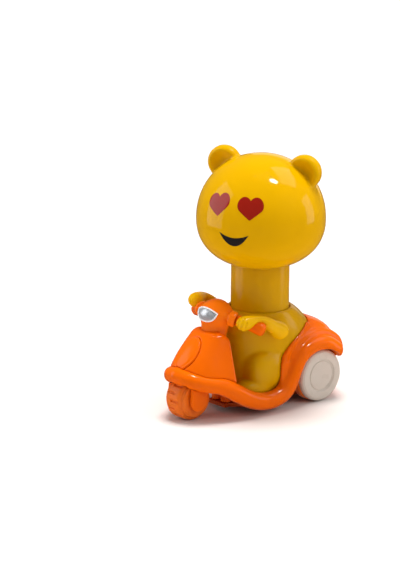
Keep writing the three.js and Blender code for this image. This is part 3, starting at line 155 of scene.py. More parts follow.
# Wheels and fork
FRONT_AXLE_Y, FRONT_RADIUS, FRONT_TREAD_HALF = -37.4, 8.5, 4.0
FRONT_HUB_HALF, FRONT_HUB_RADIUS = 5.3, 7.0
TREAD_CROWN, FRONT_BORE = 0.35, 1.1
TREAD_NOTCHES, NOTCH_DEPTH, NOTCH_WIDTH = 16, 0.7, 0.9
NOTCH_ASIDE, NOTCH_REACH = 1.1, 2.0
FORK_X, FORK_FOOT_RADIUS = (5.7, 7.3), 4.3
FORK_TOP_AHEAD, FORK_TOP_HALF, FORK_TOP_Z = 37.0, 4.2, 16.5
REAR_AXLE_Y, REAR_RADIUS = 18.1, 10.6
TYRE_X, TYRE_BORE, DISC_X = (10.0, 14.8), 1.3, (14.9, 17.3)
DISC_RIM, DISC_STEP, DISC_HUB = 3.6, 0.5, 5.2
WELL_GAP, WELL_SHIFT, AXLE_HOLE_RADIUS = 0.9, 0.4, 2.4
TUNNEL_HALF, TUNNEL_INSIDE, TUNNEL_REAR, TUNNEL_REAR_WALL = 9.2, 7.8, 27.5, 1.4
TUNNEL_ABOVE_SKIRT, PANEL_REAR_Y = 4.0, 7.0
SEAT_SIDE_GAP, SEAT_FRONT_Y, SEAT_REAR_Y = 1.6, -16.0, 5.1
BASE_TOP_Z, BASE_GAP = 3.9, 0.1

# Screws and spring
SCREW_HEAD_RADIUS, SCREW_HEAD_HEIGHT, SCREW_SHANK_RADIUS = 1.85, 1.0, 0.9
THREAD_PITCH, THREAD_DEPTH = 0.7, 0.14
SLOT_HALF, SLOT_REACH, SLOT_DEPTH = 0.22, 1.1, 0.6
BOSS_RADIUS, BOSS_TOP_Z = 2.1, 9.0
SPRING_WIRE, SPRING_COIL, SPRING_TURNS = 0.5, 8.2, 8
SPRING_SIDES, SPRING_STEPS = 10, 40

# Camera, read from the photo, and floor
IMAGE_WIDTH, IMAGE_HEIGHT = 400, 570
PIXELS_PER_MM = 2.53
VIEW_AZIMUTH, VIEW_ELEVATION, VIEW_ROLL = math.radians(48), math.radians(16), math.radians(0.7)
NECK_FOOT_PIXEL = (258.3, 400.0)
CAMERA_DISTANCE = 2500.0
SENSOR = 36.0
FLOOR_REACH = 4.0

# Fields: distance-like functions on a grid of points, negative inside. Most of them stop growing at FAR, and
# BEYOND lies past every form.
FAR, BEYOND = 8.0, 40.0


class Space:
    def __init__(self, low, high, step):
        self.low = np.array(low, np.float32)
        self.step = step
        axes = [np.arange(a, b + step, step, dtype=np.float32) for a, b in zip(low, high)]
        self.shape = tuple(len(a) for a in axes)
        self.x = axes[0][:, None, None]
        self.y = axes[1][None, :, None]
        self.z = axes[2][None, None, :]

    def block(self, low, high):
        first = np.clip(((np.array(low) - self.low) / self.step).astype(int), 0, self.shape)
        last = np.clip(((np.array(high) - self.low) / self.step).astype(int) + 2, 0, self.shape)
        return tuple(slice(a, b) for a, b in zip(first, last))

    def full(self, value=FAR):
        return np.full(self.shape, value, np.float32)

    def around(self, centre):
        return [axis - c for axis, c in zip((self.x, self.y, self.z), centre)]


def smoothstep(low, high, value):
    share = np.clip((value - low) / (high - low), 0, 1)
    return share * share * (3 - 2 * share)


def mix(a, b, share):
    return a + (b - a) * share


def rounded(a, b, power):
    """How far out a point is, from its shares of two half axes: 1 on the rounded outline."""
    return (a**power + b**power) ** (1 / power)


def level(space, value):
    """A distance-like field from a function that is zero on the surface."""
    value = np.broadcast_to(value, space.shape).astype(np.float32)
    slope = np.gradient(value, space.step)
    steep = np.sqrt(slope[0] ** 2 + slope[1] ** 2 + slope[2] ** 2)
    return np.clip(value / np.maximum(steep, 1e-3), -FAR, FAR)


def join(a, b, blend):
    share = np.clip(0.5 + 0.5 * (b - a) / blend, 0, 1)
    return b + (a - b) * share - blend * share * (1 - share)


def carve(a, b, blend):
    return -join(-a, b, blend)


def meet(a, b, blend):
    return -join(-a, -b, blend)


def rounded_block(space, centre, size, power):
    near = sum((abs(q) / s) ** power for q, s in zip(space.around(centre), size)) ** (1 / power)
    return level(space, (near - 1) * min(size))


def ellipsoid(space, centre, size):
    p = space.around(centre)
    near = np.sqrt(sum((q / s) ** 2 for q, s in zip(p, size)))
    steep = np.sqrt(sum((q / s**2) ** 2 for q, s in zip(p, size)))
    return np.clip(near * (near - 1) / np.maximum(steep, 1e-4), -FAR, FAR)


def box(space, low, high):
    middle, half = np.add(low, high) / 2, np.subtract(high, low) / 2
    q = [abs(offset) - h for offset, h in zip(space.around(middle), half)]
    outside = np.sqrt(sum(np.maximum(part, 0) ** 2 for part in q))
    return outside + np.minimum(np.maximum(np.maximum(q[0], q[1]), q[2]), 0)


def rod_x(space, y, z, radius, half_length=BEYOND):
    round_part = np.sqrt((space.y - y) ** 2 + (space.z - z) ** 2) - radius
    return np.maximum(round_part, abs(space.x) - half_length)


def rod_z(space, x, y, radius):
    return np.sqrt((space.x - x) ** 2 + (space.y - y) ** 2) - radius


def tube(space, points, radii):
    field = space.full()
    for a, b, ra, rb in zip(points[:-1], points[1:], radii[:-1], radii[1:]):
        a, b = np.array(a, np.float32), np.array(b, np.float32)
        reach = FAR + max(ra, rb)
        part = space.block(np.minimum(a, b) - reach, np.maximum(a, b) + reach)
        p = [space.x[part[0]] - a[0], space.y[:, part[1]] - a[1], space.z[:, :, part[2]] - a[2]]
        along = b - a
        share = sum(q * d for q, d in zip(p, along)) / max(float(along @ along), 1e-9)
        share = np.clip(share, 0, 1)
        gap = np.sqrt(sum((q - share * d) ** 2 for q, d in zip(p, along)))
        field[part] = np.minimum(field[part], gap - mix(ra, rb, share))
    return field


def spline(points, per_span=8):
    """A smooth curve through the points, spaced by the square root of their distances."""
    p = np.array(points, float)
    p = np.vstack([2 * p[0] - p[1], p, 2 * p[-1] - p[-2]])
    run = []
    for p0, p1, p2, p3 in zip(p[:-3], p[1:-2], p[2:-1], p[3:]):
        t0, t1, t2 = (np.linalg.norm(b - a) ** 0.5 for a, b in ((p0, p1), (p1, p2), (p2, p3)))
        start = ((p1 - p0) / t0 - (p2 - p0) / (t0 + t1) + (p2 - p1) / t1) * t1
        end = ((p2 - p1) / t1 - (p3 - p1) / (t1 + t2) + (p3 - p2) / t2) * t1
        for t in np.arange(per_span) / per_span:
            bend = 2 * t**3 - 3 * t**2
            run.append(p1 * (1 + bend) - p2 * bend + start * (t**3 - 2 * t**2 + t) + end * (t**3 - t**2))
    run.append(p[-2])
    return np.array(run)


def shares(run):
    lengths = np.concatenate([[0], np.cumsum(np.linalg.norm(np.diff(run, axis=0), axis=1))])
    return lengths / lengths[-1]


# Skins: a field's zero surface as a mesh of quads
CORNERS = np.array([(i, j, k) for i in (0, 1) for j in (0, 1) for k in (0, 1)])
EDGES = [(a, b) for a in range(8) for b in range(a + 1, 8) if abs(CORNERS[a] - CORNERS[b]).sum() == 1]


def sample(space, field, points):
    place = (points - space.low) / space.step
    cell = np.clip(place.astype(int), 0, np.array(field.shape) - 2)
    t = place - cell
    return sum(
        np.prod(np.where(corner, t, 1 - t), axis=1) * field[tuple((cell + corner).T)] for corner in CORNERS
    )


def slopes(space, field, points):
    grown = np.stack([sample(space, part, points) for part in np.gradient(field, space.step)], axis=1)
    return grown / np.maximum(np.linalg.norm(grown, axis=1), 1e-6)[:, None]


def skin(space, field):
    inside = field < 0
    size = np.array(field.shape) - 1
    total = sum(
        inside[i : i + size[0], j : j + size[1], k : k + size[2]].astype(np.uint8) for i, j, k in CORNERS
    )
    cells = np.argwhere((total > 0) & (total < 8))
    number = np.full(size, -1, np.int64)
    number[tuple(cells.T)] = np.arange(len(cells))
    values = np.stack([field[tuple((cells + c).T)] for c in CORNERS], axis=1)
    place, hits = np.zeros((len(cells), 3)), np.zeros(len(cells))
    for a, b in EDGES:
        cross = (values[:, a] < 0) != (values[:, b] < 0)
        share = values[cross, a] / (values[cross, a] - values[cross, b])
        place[cross] += CORNERS[a] + share[:, None] * (CORNERS[b] - CORNERS[a])
        hits[cross] += 1
    points = space.low + space.step * (cells + place / hits[:, None])
    quads = []
    for axis in range(3):
        u, v = (axis + 1) % 3, (axis + 2) % 3
        ahead = np.moveaxis(inside, axis, 0)
        change = np.moveaxis(ahead[:-1] != ahead[1:], 0, axis)
        edge = np.argwhere(change)
        edge = edge[(edge[:, u] > 0) & (edge[:, v] > 0) & (edge[:, u] < size[u]) & (edge[:, v] < size[v])]
        du, dv = np.eye(3, dtype=int)[u], np.eye(3, dtype=int)[v]
        ring = np.stack([number[tuple((edge - move).T)] for move in (0 * du, du, du + dv, dv)], axis=1)
        outwards = inside[tuple(edge.T)]
        quads.append(np.where(outwards[:, None], ring, ring[:, ::-1]))
    for _ in range(3):
        step = sample(space, field, points)[:, None] * slopes(space, field, points)
        points = points - np.clip(step, -0.4 * space.step, 0.4 * space.step)
    return points, np.concatenate(quads)


# Meshes and pieces
SHARP_ANGLE, BEVEL_ANGLE = math.radians(40), math.radians(25)


def turned(points, turn):
    c, s = math.cos(turn), math.sin(turn)
    x, y, z = np.asarray(points, float).T
    return np.stack([x * c - y * s, x * s + y * c, z], axis=1)


def mesh_of(name, points, faces, turn=0.0):
    mesh = bpy.data.meshes.new(name)
    mesh.from_pydata(turned(points, turn) * MM + (0, NECK_Y, 0), [], faces)
    mesh.polygons.foreach_set("use_smooth", np.ones(len(mesh.polygons), bool))
    mesh.update()
    return mesh


def shade(mesh, normals, flat_below=0.55):
    """Smooth normals from a field. A face that is cut across the surface keeps its own normal."""
    corners = np.zeros(len(mesh.loops), np.int32)
    mesh.loops.foreach_get("vertex_index", corners)
    counts = np.zeros(len(mesh.polygons), np.int32)
    mesh.polygons.foreach_get("loop_total", counts)
    own = np.zeros(len(mesh.polygons) * 3, np.float32)
    mesh.polygons.foreach_get("normal", own)
    own = np.repeat(own.reshape(-1, 3), counts, axis=0)
    soft = normals[corners]
    crossing = (soft * own).sum(axis=1) < flat_below
    mesh.normals_split_custom_set(np.where(crossing[:, None], own, soft).tolist())


def piece(mesh, material, body, nodes=()):
    """The mesh as an object of the same name, on a body, in place of the CAD nodes it dresses."""
    obj = bpy.data.objects.new(mesh.name, mesh)
    bpy.context.scene.collection.objects.link(obj)
    mesh.materials.clear()
    mesh.materials.append(material)
    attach(obj, body)
    if nodes:
        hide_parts(*nodes)
    return obj


def field_mesh(name, space, field, turn=0.0):
    points, faces = skin(space, field)
    mesh = mesh_of(name, points, faces, turn)
    shade(mesh, turned(slopes(space, field, points), turn))
    return mesh


def bmesh_of(points, faces):
    bm = bmesh.new()
    for p in points:
        bm.verts.new(p)
    bm.verts.ensure_lookup_table()
    for f in faces:
        bm.faces.new([bm.verts[i] for i in f])
    bmesh.ops.recalc_face_normals(bm, faces=bm.faces[:])
    return bm


def mesh_from(bm, name, turn=0.0):
    """A bmesh's mesh in the frame, and its points in millimetres. The faces look outwards."""
    bmesh.ops.recalc_face_normals(bm, faces=bm.faces[:])
    bm.verts.index_update()
    points = np.array([v.co for v in bm.verts])
    faces = [[v.index for v in f.verts] for f in bm.faces]
    bm.free()
    return mesh_of(name, points, faces, turn), points


def sliced_mesh(name, space, field, at_y, keep, turn=0.0):
    """The part of a field's skin on one side of the plane y = at_y, closed along the cut."""
    bm = bmesh_of(*skin(space, field))
    everything = bm.verts[:] + bm.edges[:] + bm.faces[:]
    result = bmesh.ops.bisect_plane(
        bm, geom=everything, plane_co=(0, at_y, 0), plane_no=(0, keep, 0), clear_inner=True, dist=1e-5
    )
    rim = [e for e in result["geom_cut"] if isinstance(e, bmesh.types.BMEdge)]
    bmesh.ops.triangle_fill(bm, edges=rim, use_beauty=True)
    mesh, points = mesh_from(bm, name, turn)
    shade(mesh, turned(slopes(space, field, points), turn))
    return mesh


def circle(count):
    return [(math.cos(angle), math.sin(angle)) for angle in 2 * math.pi * np.arange(count) / count]


def ring_bmesh(rings, closed=False, caps=()):
    """A surface through rings of points, each joined to the next. A ring of one point is a pole."""
    sides = max(len(ring) for ring in rings)
    points, rows = [], []
    for ring in rings:
        rows.append([len(points) + k % len(ring) for k in range(sides)])
        points += list(ring)
    faces = [rows[i] for i in caps]
    for low, high in zip(rows, rows[1:] + rows[:1] if closed else rows[1:]):
        for k in range(sides):
            corners = [low[k - 1], low[k], high[k], high[k - 1]]
            face = [v for i, v in enumerate(corners) if v != corners[i - 1]]
            if len(face) > 2:
                faces.append(face)
    return bmesh_of(points, faces)


def ring_mesh(name, rings, turn=0.0, closed=False, caps=(), sharp_above=SHARP_ANGLE):
    mesh, _ = mesh_from(ring_bmesh(rings, closed, caps), name, turn)
    mesh.set_sharp_from_angle(angle=sharp_above)
    return mesh


def lathe(profile, segments, axis, centre):
    """The rings of a profile of (radius, reach) pairs that is spun about an axis."""
    axis = np.array(axis, float) / np.linalg.norm(axis)
    across = np.cross(axis, (0, 0, 1) if abs(axis[2]) < 0.9 else (1, 0, 0))
    across /= np.linalg.norm(across)
    third = np.cross(axis, across)
    rings = []
    for radius, reach in profile:
        middle = np.array(centre) + axis * reach
        spokes = [across * c + third * s for c, s in circle(segments if radius else 1)]
        rings.append([middle + spoke * radius for spoke in spokes])
    return rings


def turned_mesh(name, profile, segments, axis, centre, round_by=0.25):
    """A turned piece whose corners are rounded by a small bevel. A profile off the axis is a closed ring."""
    bm = ring_bmesh(lathe(profile, segments, axis, centre), closed=profile[0][0] > 0)
    sharp = [e for e in bm.edges if e.is_manifold and e.calc_face_angle() > BEVEL_ANGLE]
    bmesh.ops.bevel(
        bm, geom=sharp, offset=round_by, segments=3, profile=0.5, affect="EDGES", clamp_overlap=True
    )
    mesh, _ = mesh_from(bm, name)
    mesh.set_sharp_from_angle(angle=SHARP_ANGLE)
    return mesh


# Materials. Each kind of mark is a noise, given by its scale and its detail.
FLOW_MARKS, HANDLING_MARKS, SKIN_MARKS, SKIN_HEIGHT = (45, 3), (120, 4), (260, 2), 0.0005


def linear(red, green, blue):
    def one(value):
        value /= 255
        return value / 12.92 if value <= 0.04045 else ((value + 0.055) / 1.055) ** 2.4

    return (one(red), one(green), one(blue), 1.0)


def fill(node, values):
    for name, value in values.items():
        node.inputs[name].default_value = value
    return node


def plastic(name, colour, roughness, ripple=0.02, mottle=0.06, grain=0.35, specular=0.5):
    """Moulded plastic: slow flow marks in the colour, handling marks in the gloss and a fine skin."""
    material = bpy.data.materials.new(name)
    material.use_nodes = True
    nodes, links = material.node_tree.nodes, material.node_tree.links
    shader = fill(nodes["Principled BSDF"], {"Specular IOR Level": specular})
    place = nodes.new("ShaderNodeTexCoord")

    def noise(scale, detail):
        node = fill(nodes.new("ShaderNodeTexNoise"), {"Scale": scale, "Detail": detail})
        links.new(place.outputs["Object"], node.inputs["Vector"])
        return node

    def ranged(source, low, high):
        values = {"From Min": 0.3, "From Max": 0.7, "To Min": low, "To Max": high}
        node = fill(nodes.new("ShaderNodeMapRange"), values)
        links.new(source.outputs["Fac"], node.inputs["Value"])
        return node

    tint = nodes.new("ShaderNodeMix")
    tint.data_type = "RGBA"
    flow = ranged(noise(*FLOW_MARKS), 0, 1)
    links.new(flow.outputs["Result"], tint.inputs["Factor"])
    base = linear(*colour)
    tint.inputs["A"].default_value = tuple(c * (1 - mottle) for c in base[:3]) + (1,)
    tint.inputs["B"].default_value = tuple(min(c * (1 + mottle), 1) for c in base[:3]) + (1,)
    links.new(tint.outputs["Result"], shader.inputs["Base Color"])
    marks = ranged(noise(*HANDLING_MARKS), roughness * (1 - grain), roughness * (1 + grain))
    links.new(marks.outputs["Result"], shader.inputs["Roughness"])
    bump = fill(nodes.new("ShaderNodeBump"), {"Strength": ripple, "Distance": SKIN_HEIGHT})
    links.new(noise(*SKIN_MARKS).outputs["Fac"], bump.inputs["Height"])
    links.new(bump.outputs["Normal"], shader.inputs["Normal"])
    return material


def metal(name, colour, roughness, brushed=0.0, shine=1.0):
    material = plastic(name, colour, roughness, ripple=0.03, mottle=0.04, grain=0.3)
    fill(material.node_tree.nodes["Principled BSDF"], {"Metallic": shine, "Anisotropic": brushed})
    return material


HEAD_YELLOW = plastic("head_yellow", (222, 168, 0), 0.06, mottle=0.02, specular=0.22)
BODY_YELLOW = plastic("body_yellow", (208, 156, 0), 0.17, mottle=0.04, specular=0.2)
ARM_YELLOW = plastic("arm_yellow", (234, 178, 0), 0.24, mottle=0.04, specular=0.12)
ORANGE = plastic("orange", (240, 104, 0), 0.16, mottle=0.03, specular=0.22)
# A lighter copy of the orange for the handlebar: painted light, in place of the overhead light that the head
# blocks from it.
PAINTED_LIGHT_ORANGE = plastic("painted_light_orange", (252, 120, 14), 0.16, mottle=0.03, specular=0.22)
TYRE_ORANGE = plastic("tyre_orange", (234, 112, 24), 0.34, ripple=0.06, mottle=0.05, specular=0.2)
CREAM = plastic("cream", (208, 198, 186), 0.3, ripple=0.04, mottle=0.03, specular=0.3)
HEART_RED = plastic("heart_red", (150, 26, 12), 0.1, mottle=0.06, specular=0.46)
MOUTH_BLACK = plastic("mouth_black", (34, 30, 30), 0.25, mottle=0.15, specular=0.2)
SILVER = metal("silver_foil", (222, 226, 232), 0.3, shine=0.6)
RIM_WHITE = plastic("rim_white", (255, 255, 255), 0.2)
STEEL = metal("spring_steel", (168, 170, 174), 0.32, brushed=0.4)
NYLON = plastic("white_nylon", (226, 222, 208), 0.45, ripple=0.05)
DARK = plastic("dark_plastic", (58, 58, 60), 0.5, ripple=0.08, mottle=0.1)
# A dark brownish orange for the base plate: painted shade, the shadow under the bead, in place of the plate's
# own orange.
PAINTED_SHADE_ORANGE = plastic("painted_shade_orange", (168, 70, 14), 0.5, ripple=0.06, mottle=0.08, specular=0.1)


# Head
def head_form(space, inset=0.0):
    radius = HEAD_RADIUS - inset
    out = rod_z(space, 0, 0, 0) / radius
    rise = space.z - HEAD_WIDEST_Z

    def dome(way, height, power):
        return rounded(out, np.maximum(way * rise, 0) / (height - inset), power)

    near = np.where(rise > 0, dome(1, CROWN_HEIGHT, CROWN_POWER), dome(-1, JAW_HEIGHT, JAW_POWER))
    return level(space, (near - 1) * radius)


def ear_form(space, side):
    x, y, z = EAR_CENTRE
    out = np.sqrt((space.x - side * x) ** 2 + (space.z - z) ** 2)
    edge = out - (EAR_RADIUS - EAR_ROUND)
    face = abs(space.y - y) - (EAR_HALF - EAR_ROUND)
    disc = np.minimum(np.maximum(edge, face), 0)
    disc = disc + np.sqrt(np.maximum(edge, 0) ** 2 + np.maximum(face, 0) ** 2) - EAR_ROUND
    ball = (EAR_DISH_RADIUS**2 + EAR_DISH_DEPTH**2) / (2 * EAR_DISH_DEPTH)
    ball_y = y - EAR_HALF + EAR_DISH_DEPTH - ball
    dish = np.sqrt(out**2 + (space.y - ball_y) ** 2) - ball
    return carve(disc, dish, 0.9)


def head_shells():
    space = Space((-28, -28, 54), (28, 28, 104), 0.5)
    field = head_form(space)
    for side in SIDES.values():
        field = join(field, ear_form(space, side), 0.9)
    field = carve(field, head_form(space, HEAD_WALL), 0.3)
    shaft = rod_z(space, 0, 0, NECK_RADIUS + HEAD_OPENING_GAP)
    opening = np.maximum(shaft, space.z - HEAD_WIDEST_Z + HEAD_OPENING_DROP)
    field = carve(field, opening, 0.5)
    for name, keep in (("head_front_shell", -1), ("head_rear_shell", 1)):
        cut_y = HEAD_SEAM_Y + keep * SEAM_GAP / 2
        mesh = sliced_mesh("shell_" + name, space, field, cut_y, keep, HEAD_TURN)
        piece(mesh, HEAD_YELLOW, "head", [name])


def head_radius_at(z):
    rise = z - HEAD_WIDEST_Z
    height, power = (CROWN_HEIGHT, CROWN_POWER) if rise > 0 else (JAW_HEIGHT, JAW_POWER)
    return HEAD_RADIUS * (1 - min(abs(rise) / height, 1) ** power) ** (1 / power)


def on_head(angle, z, rise):
    """A point over the head's surface, by its angle from straight ahead and its height."""
    step = 0.05
    radius = head_radius_at(z)
    slope = (head_radius_at(z + step) - head_radius_at(z - step)) / (2 * step)
    tilt = math.hypot(1, slope)
    out = radius + rise / tilt
    return (out * math.sin(angle), -out * math.cos(angle), z - rise * slope / tilt)


def print_mesh(name, outline, centre):
    """A thin film of ink on the head: an outline of (angle, z) pairs, filled towards its centre."""
    outwards = range(PRINT_RINGS + 1)
    rings = []
    for rise, steps in ((PRINT_RISE, outwards), (-PRINT_DEPTH, reversed(outwards))):
        for step in steps:
            loop = [mix(np.array(centre), np.array(point), step / PRINT_RINGS) for point in outline]
            rings.append([on_head(angle, z, rise) for angle, z in (loop if step else [centre])])
    return ring_mesh(name, rings, HEAD_TURN - FACE_TURN)


def heart_outline(side):
    """Two round lobes with straight flanks down to a blunt tip."""
    lobe = np.array((HEART_WIDTH / 2 - HEART_LOBE, HEART_HEIGHT / 2 - HEART_LOBE))
    tip = np.array((0, HEART_TIP - HEART_HEIGHT / 2))
    apart = lobe - tip
    flank = math.atan2(apart[1], apart[0]) - math.acos((HEART_TIP - HEART_LOBE) / np.linalg.norm(apart))
    notch = math.acos(-lobe[0] / HEART_LOBE)
    half = []
    for angle in np.linspace(-math.pi / 2, flank, 5):
        half.append(tip + HEART_TIP * np.array((math.cos(angle), math.sin(angle))))
    outward = np.array((math.cos(flank), math.sin(flank)))
    for share in np.linspace(0, 1, 16)[1:-1]:
        half.append(mix(tip + HEART_TIP * outward, lobe + HEART_LOBE * outward, share))
    for angle in np.linspace(flank, notch, 28):
        half.append(lobe + HEART_LOBE * np.array((math.cos(angle), math.sin(angle))))
    whole = half + [point * (-1, 1) for point in half[-2:0:-1]]
    radius = head_radius_at(HEART_Z)
    turn = np.array(Matrix.Rotation(HEART_TILT[side], 2))
    whole = [turn @ point for point in whole]
    return [(side * HEART_ANGLE - HEART_SHIFT + x / radius, HEART_Z + z) for x, z in whole]


def mouth_outline():
    """A crescent: its lower edge from right to left, then its upper edge back."""
    points, across = [], np.linspace(-1, 1, 29)
    for middle_z, power, places in (
        (MOUTH_LOW_Z, MOUTH_LOW_POWER, across),
        (MOUTH_LIP_Z, MOUTH_LIP_POWER, across[-2:0:-1]),
    ):
        for place in places:
            z = mix(middle_z, MOUTH_CORNER_Z, abs(place) ** power)
            points.append((MOUTH_ANGLE * place + MOUTH_SHIFT, z))
    return points


def face():
    for name, side in SIDES.items():
        centre = (side * HEART_ANGLE - HEART_SHIFT, HEART_Z)
        piece(print_mesh(f"{name}_heart", heart_outline(side), centre), HEART_RED, "head")
    centre = (MOUTH_SHIFT, mix(MOUTH_LOW_Z, MOUTH_LIP_Z, 0.5))
    piece(print_mesh("mouth", mouth_outline(), centre), MOUTH_BLACK, "head")


# Neck
def neck():
    bore, lip = NECK_RADIUS - NECK_WALL, NECK_RADIUS + NECK_LIP
    profile = [
        (bore, NECK_FOOT_Z), (lip, NECK_FOOT_Z), (lip, NECK_FOOT_Z + NECK_LIP_HEIGHT),
        (NECK_RADIUS, NECK_FOOT_Z + NECK_LIP_HEIGHT + 0.2), (NECK_RADIUS, NECK_TOP_Z),
        (SPINDLE_RADIUS, NECK_TOP_Z), (SPINDLE_RADIUS, SPINDLE_TOP_Z - 1.4),
        (SPINDLE_RADIUS + SPINDLE_BARB, SPINDLE_TOP_Z - 1.1), (SPINDLE_RADIUS, SPINDLE_TOP_Z),
        (SPINDLE_BORE, SPINDLE_TOP_Z), (SPINDLE_BORE, NECK_TOP_Z - NECK_ROOF), (bore, NECK_TOP_Z - NECK_ROOF),
    ]
    mesh = turned_mesh("neck_sleeve", profile, 96, (0, 0, 1), (0, 0, 0))
    piece(mesh, BODY_YELLOW, "plunger", ["neck_tube"])


# Bear's body
def trunk(space, grow=0.0):
    z = space.z
    shoulder_z = COLLAR_Z - SHOULDER_HEIGHT
    above = np.clip((z - shoulder_z) / SHOULDER_HEIGHT, 0, None)
    full = 1 - np.minimum(1, above**2)
    centre_y = TORSO_SET_BACK * (1 - np.minimum(1, above))
    share = (z - TORSO_FLOOR_Z) / (COLLAR_Z - TORSO_FLOOR_Z)
    waist = mix(WAIST_SHARE, 1, smoothstep(0, WAIST_REACH, share))
    half_width = mix(COLLAR_RADIUS, TORSO_HALF_WIDTH, full) * waist + grow
    half_depth = mix(COLLAR_RADIUS, TORSO_HALF_DEPTH, full) * waist + grow
    out = np.sqrt((space.x / half_width) ** 2 + ((space.y - centre_y) / half_depth) ** 2)
    side = level(space, (out - 1) * half_width)
    ends = np.maximum(TORSO_FLOOR_Z - grow - space.z, space.z - COLLAR_Z - grow)
    return meet(side, ends, 0.8)


def wheel_room(space, wall=0.0, shrink=0.0, shift=0.0):
    """Room for both rear wheels, or for the wheels with the walls of their wells."""
    radius = REAR_RADIUS + WELL_GAP + wall - shrink
    room = rod_x(space, REAR_AXLE_Y - shift, REAR_RADIUS - shift, radius)
    return np.maximum(room, TUNNEL_HALF - wall - abs(space.x))


def bear_form(space, grow=0.0):
    field = trunk(space, grow)
    for centre, size, power in ((KNEE, KNEE_SIZE, KNEE_POWER), (FOOT, FOOT_SIZE, FOOT_POWER)):
        grown = np.array(size) + grow
        limbs = [rounded_block(space, np.multiply(centre, (s, 1, 1)), grown, power) for s in SIDES.values()]
        field = join(field, np.minimum(*limbs), 0.9)
    return carve(field, wheel_room(space, BODY_WALL, grow), 0.3)


def bear_body():
    space = Space((-17, -22, 2), (17, 26, 41.5), 0.45)
    field = bear_form(space)
    hollow = np.maximum(trunk(space, -BODY_WALL), space.z - COLLAR_Z + COLLAR_DEPTH)
    bore = np.maximum(rod_z(space, 0, 0, NECK_RADIUS + NECK_GAP), COLLAR_Z - NECK_BORE_DEPTH - space.z)
    hatch, foot_hole, under_bead = (
        box(space, (-half, front_y, 0), (half, BEYOND, top_z))
        for half, front_y, top_z in (
            (HATCH_HALF, HATCH_FRONT_Y, HATCH_TOP_Z),
            (TUNNEL_INSIDE, -FOOT_HOLE_AHEAD, TORSO_FLOOR_Z + FOOT_HOLE_HEIGHT),
            (UNDER_BEAD_HALF, UNDER_BEAD_FRONT_Y, BOARD_Z + UNDER_BEAD_HEIGHT),
        )
    )
    for opening in (hollow, bore, hatch, foot_hole, under_bead):
        field = carve(field, opening, 0.35)
    mesh = field_mesh("bear_torso", space, field)
    piece(mesh, BODY_YELLOW, "chassis", ["bear_body"])


def arm(name, side):
    swing = np.array(Matrix.Rotation(side * ARM_SWING, 3, "X"))
    run = spline((ARM_POINTS - ARM_POINTS[0]) @ swing.T + ARM_POINTS[0]) * (side, 1, 1)
    place = np.linspace(0, len(ARM_RADII) - 1, len(run))
    low = np.minimum(place.astype(int), len(ARM_RADII) - 2)
    radii = mix(ARM_RADII[low], ARM_RADII[low + 1], smoothstep(0, 1, place - low))
    space = Space(run.min(axis=0) - 5, run.max(axis=0) + 5, 0.3)
    field = tube(space, run, radii)
    hand = run[-1]
    along = sum(q * a for q, a in zip(space.around(hand), BAR_AXIS * (side, 1, 1)))
    for offset in (-FINGER_PITCH, 0.0, FINGER_PITCH):
        crease = np.maximum(abs(along - offset) - CREASE_HALF, -(field + CREASE_DEPTH))
        crease = np.maximum(crease, space.y - hand[1] + 0.2)
        field = carve(field, crease, 0.3)
    ends = [bar_point(GRIP_START, side), bar_point(BAR_LENGTH + GRIP_PAST_BAR, side)]
    grip = tube(space, ends, [GRIP_RADIUS + HAND_GAP] * 2)
    field = carve(field, grip, 0.4)
    field = carve(field, bear_form(space, ARM_GAP), 0.3)
    mesh = field_mesh(f"{name}_bear_arm", space, field)
    piece(mesh, ARM_YELLOW, "chassis", [f"{name}_arm"])


# Handlebar
def bar_point(distance, side):
    return (BAR_INNER + BAR_AXIS * distance) * (side, 1, 1)


def lens_outline(grow=0.0):
    """A wide almond with a flat lower edge, as (x, z) pairs round the line between its tips."""
    half, rise, drop = LENS_WIDTH / 2 + grow, LENS_RISE + grow, LENS_DROP + grow
    bends = [
        ((-half, 0), (-half * 0.5, rise), (0, rise)),
        ((0, rise), (half * 0.5, rise), (half, 0)),
        ((half, 0), (half * 0.9, -drop), (half * 0.2, -drop)),
        ((half * 0.2, -drop), (0, -drop), (-half * 0.2, -drop)),
        ((-half * 0.2, -drop), (-half * 0.9, -drop), (-half, 0)),
    ]
    run = []
    for a, b, c in np.array(bends):
        for t in np.arange(12) / 12:
            run.append(tuple((1 - t) ** 2 * a + 2 * t * (1 - t) * b + t * t * c))
    return run


COWL_SPACE = Space((-23, -31, 28), (23, -14, 47), 0.35)
COWL_FORM = join(
    ellipsoid(COWL_SPACE, COWL, COWL_SIZE),
    tube(COWL_SPACE, [STEM_FOOT, tuple(COWL)], [STEM_RADIUS, STEM_TOP_RADIUS]),
    1.6,
)


def cowl_front(x, z, rise):
    """The cowl's front face, by x and height, raised by `rise`."""
    ahead = np.linspace(COWL[1] - 7.8, COWL[1], 160)
    depth = sample(COWL_SPACE, COWL_FORM, np.array([(x, y, z) for y in ahead]))
    return (x, np.interp(-rise, -depth, ahead), z)


def handlebar():
    space, field = COWL_SPACE, COWL_FORM
    for side in SIDES.values():
        bar = tube(space, [bar_point(0, side), bar_point(BAR_LENGTH, side)], [BAR_RADIUS] * 2)
        p = space.around(bar_point((RING_START + RING_END) / 2, side))
        along = sum(q * a for q, a in zip(p, BAR_AXIS * (side, 1, 1)))
        out = np.sqrt(np.maximum(sum(q * q for q in p) - along**2, 0))
        ring = meet(out - RING_RADIUS, abs(along) - (RING_END - RING_START) / 2, 0.7)
        field = join(field, join(bar, ring, 0.5), 0.6)
    field = np.maximum(field, -shield_top(space, STEM_SINK))
    for side in SIDES.values():
        ends = [bar_point(GRIP_START - 0.1, side), bar_point(BAR_LENGTH + 2, side)]
        field = carve(field, tube(space, ends, [GRIP_RADIUS * 0.9] * 2), 0.2)
    mesh = field_mesh("steering_head", space, field)
    # The handlebar takes the lighter orange, which is painted light.
    piece(mesh, PAINTED_LIGHT_ORANGE, "chassis", ["handlebar"])


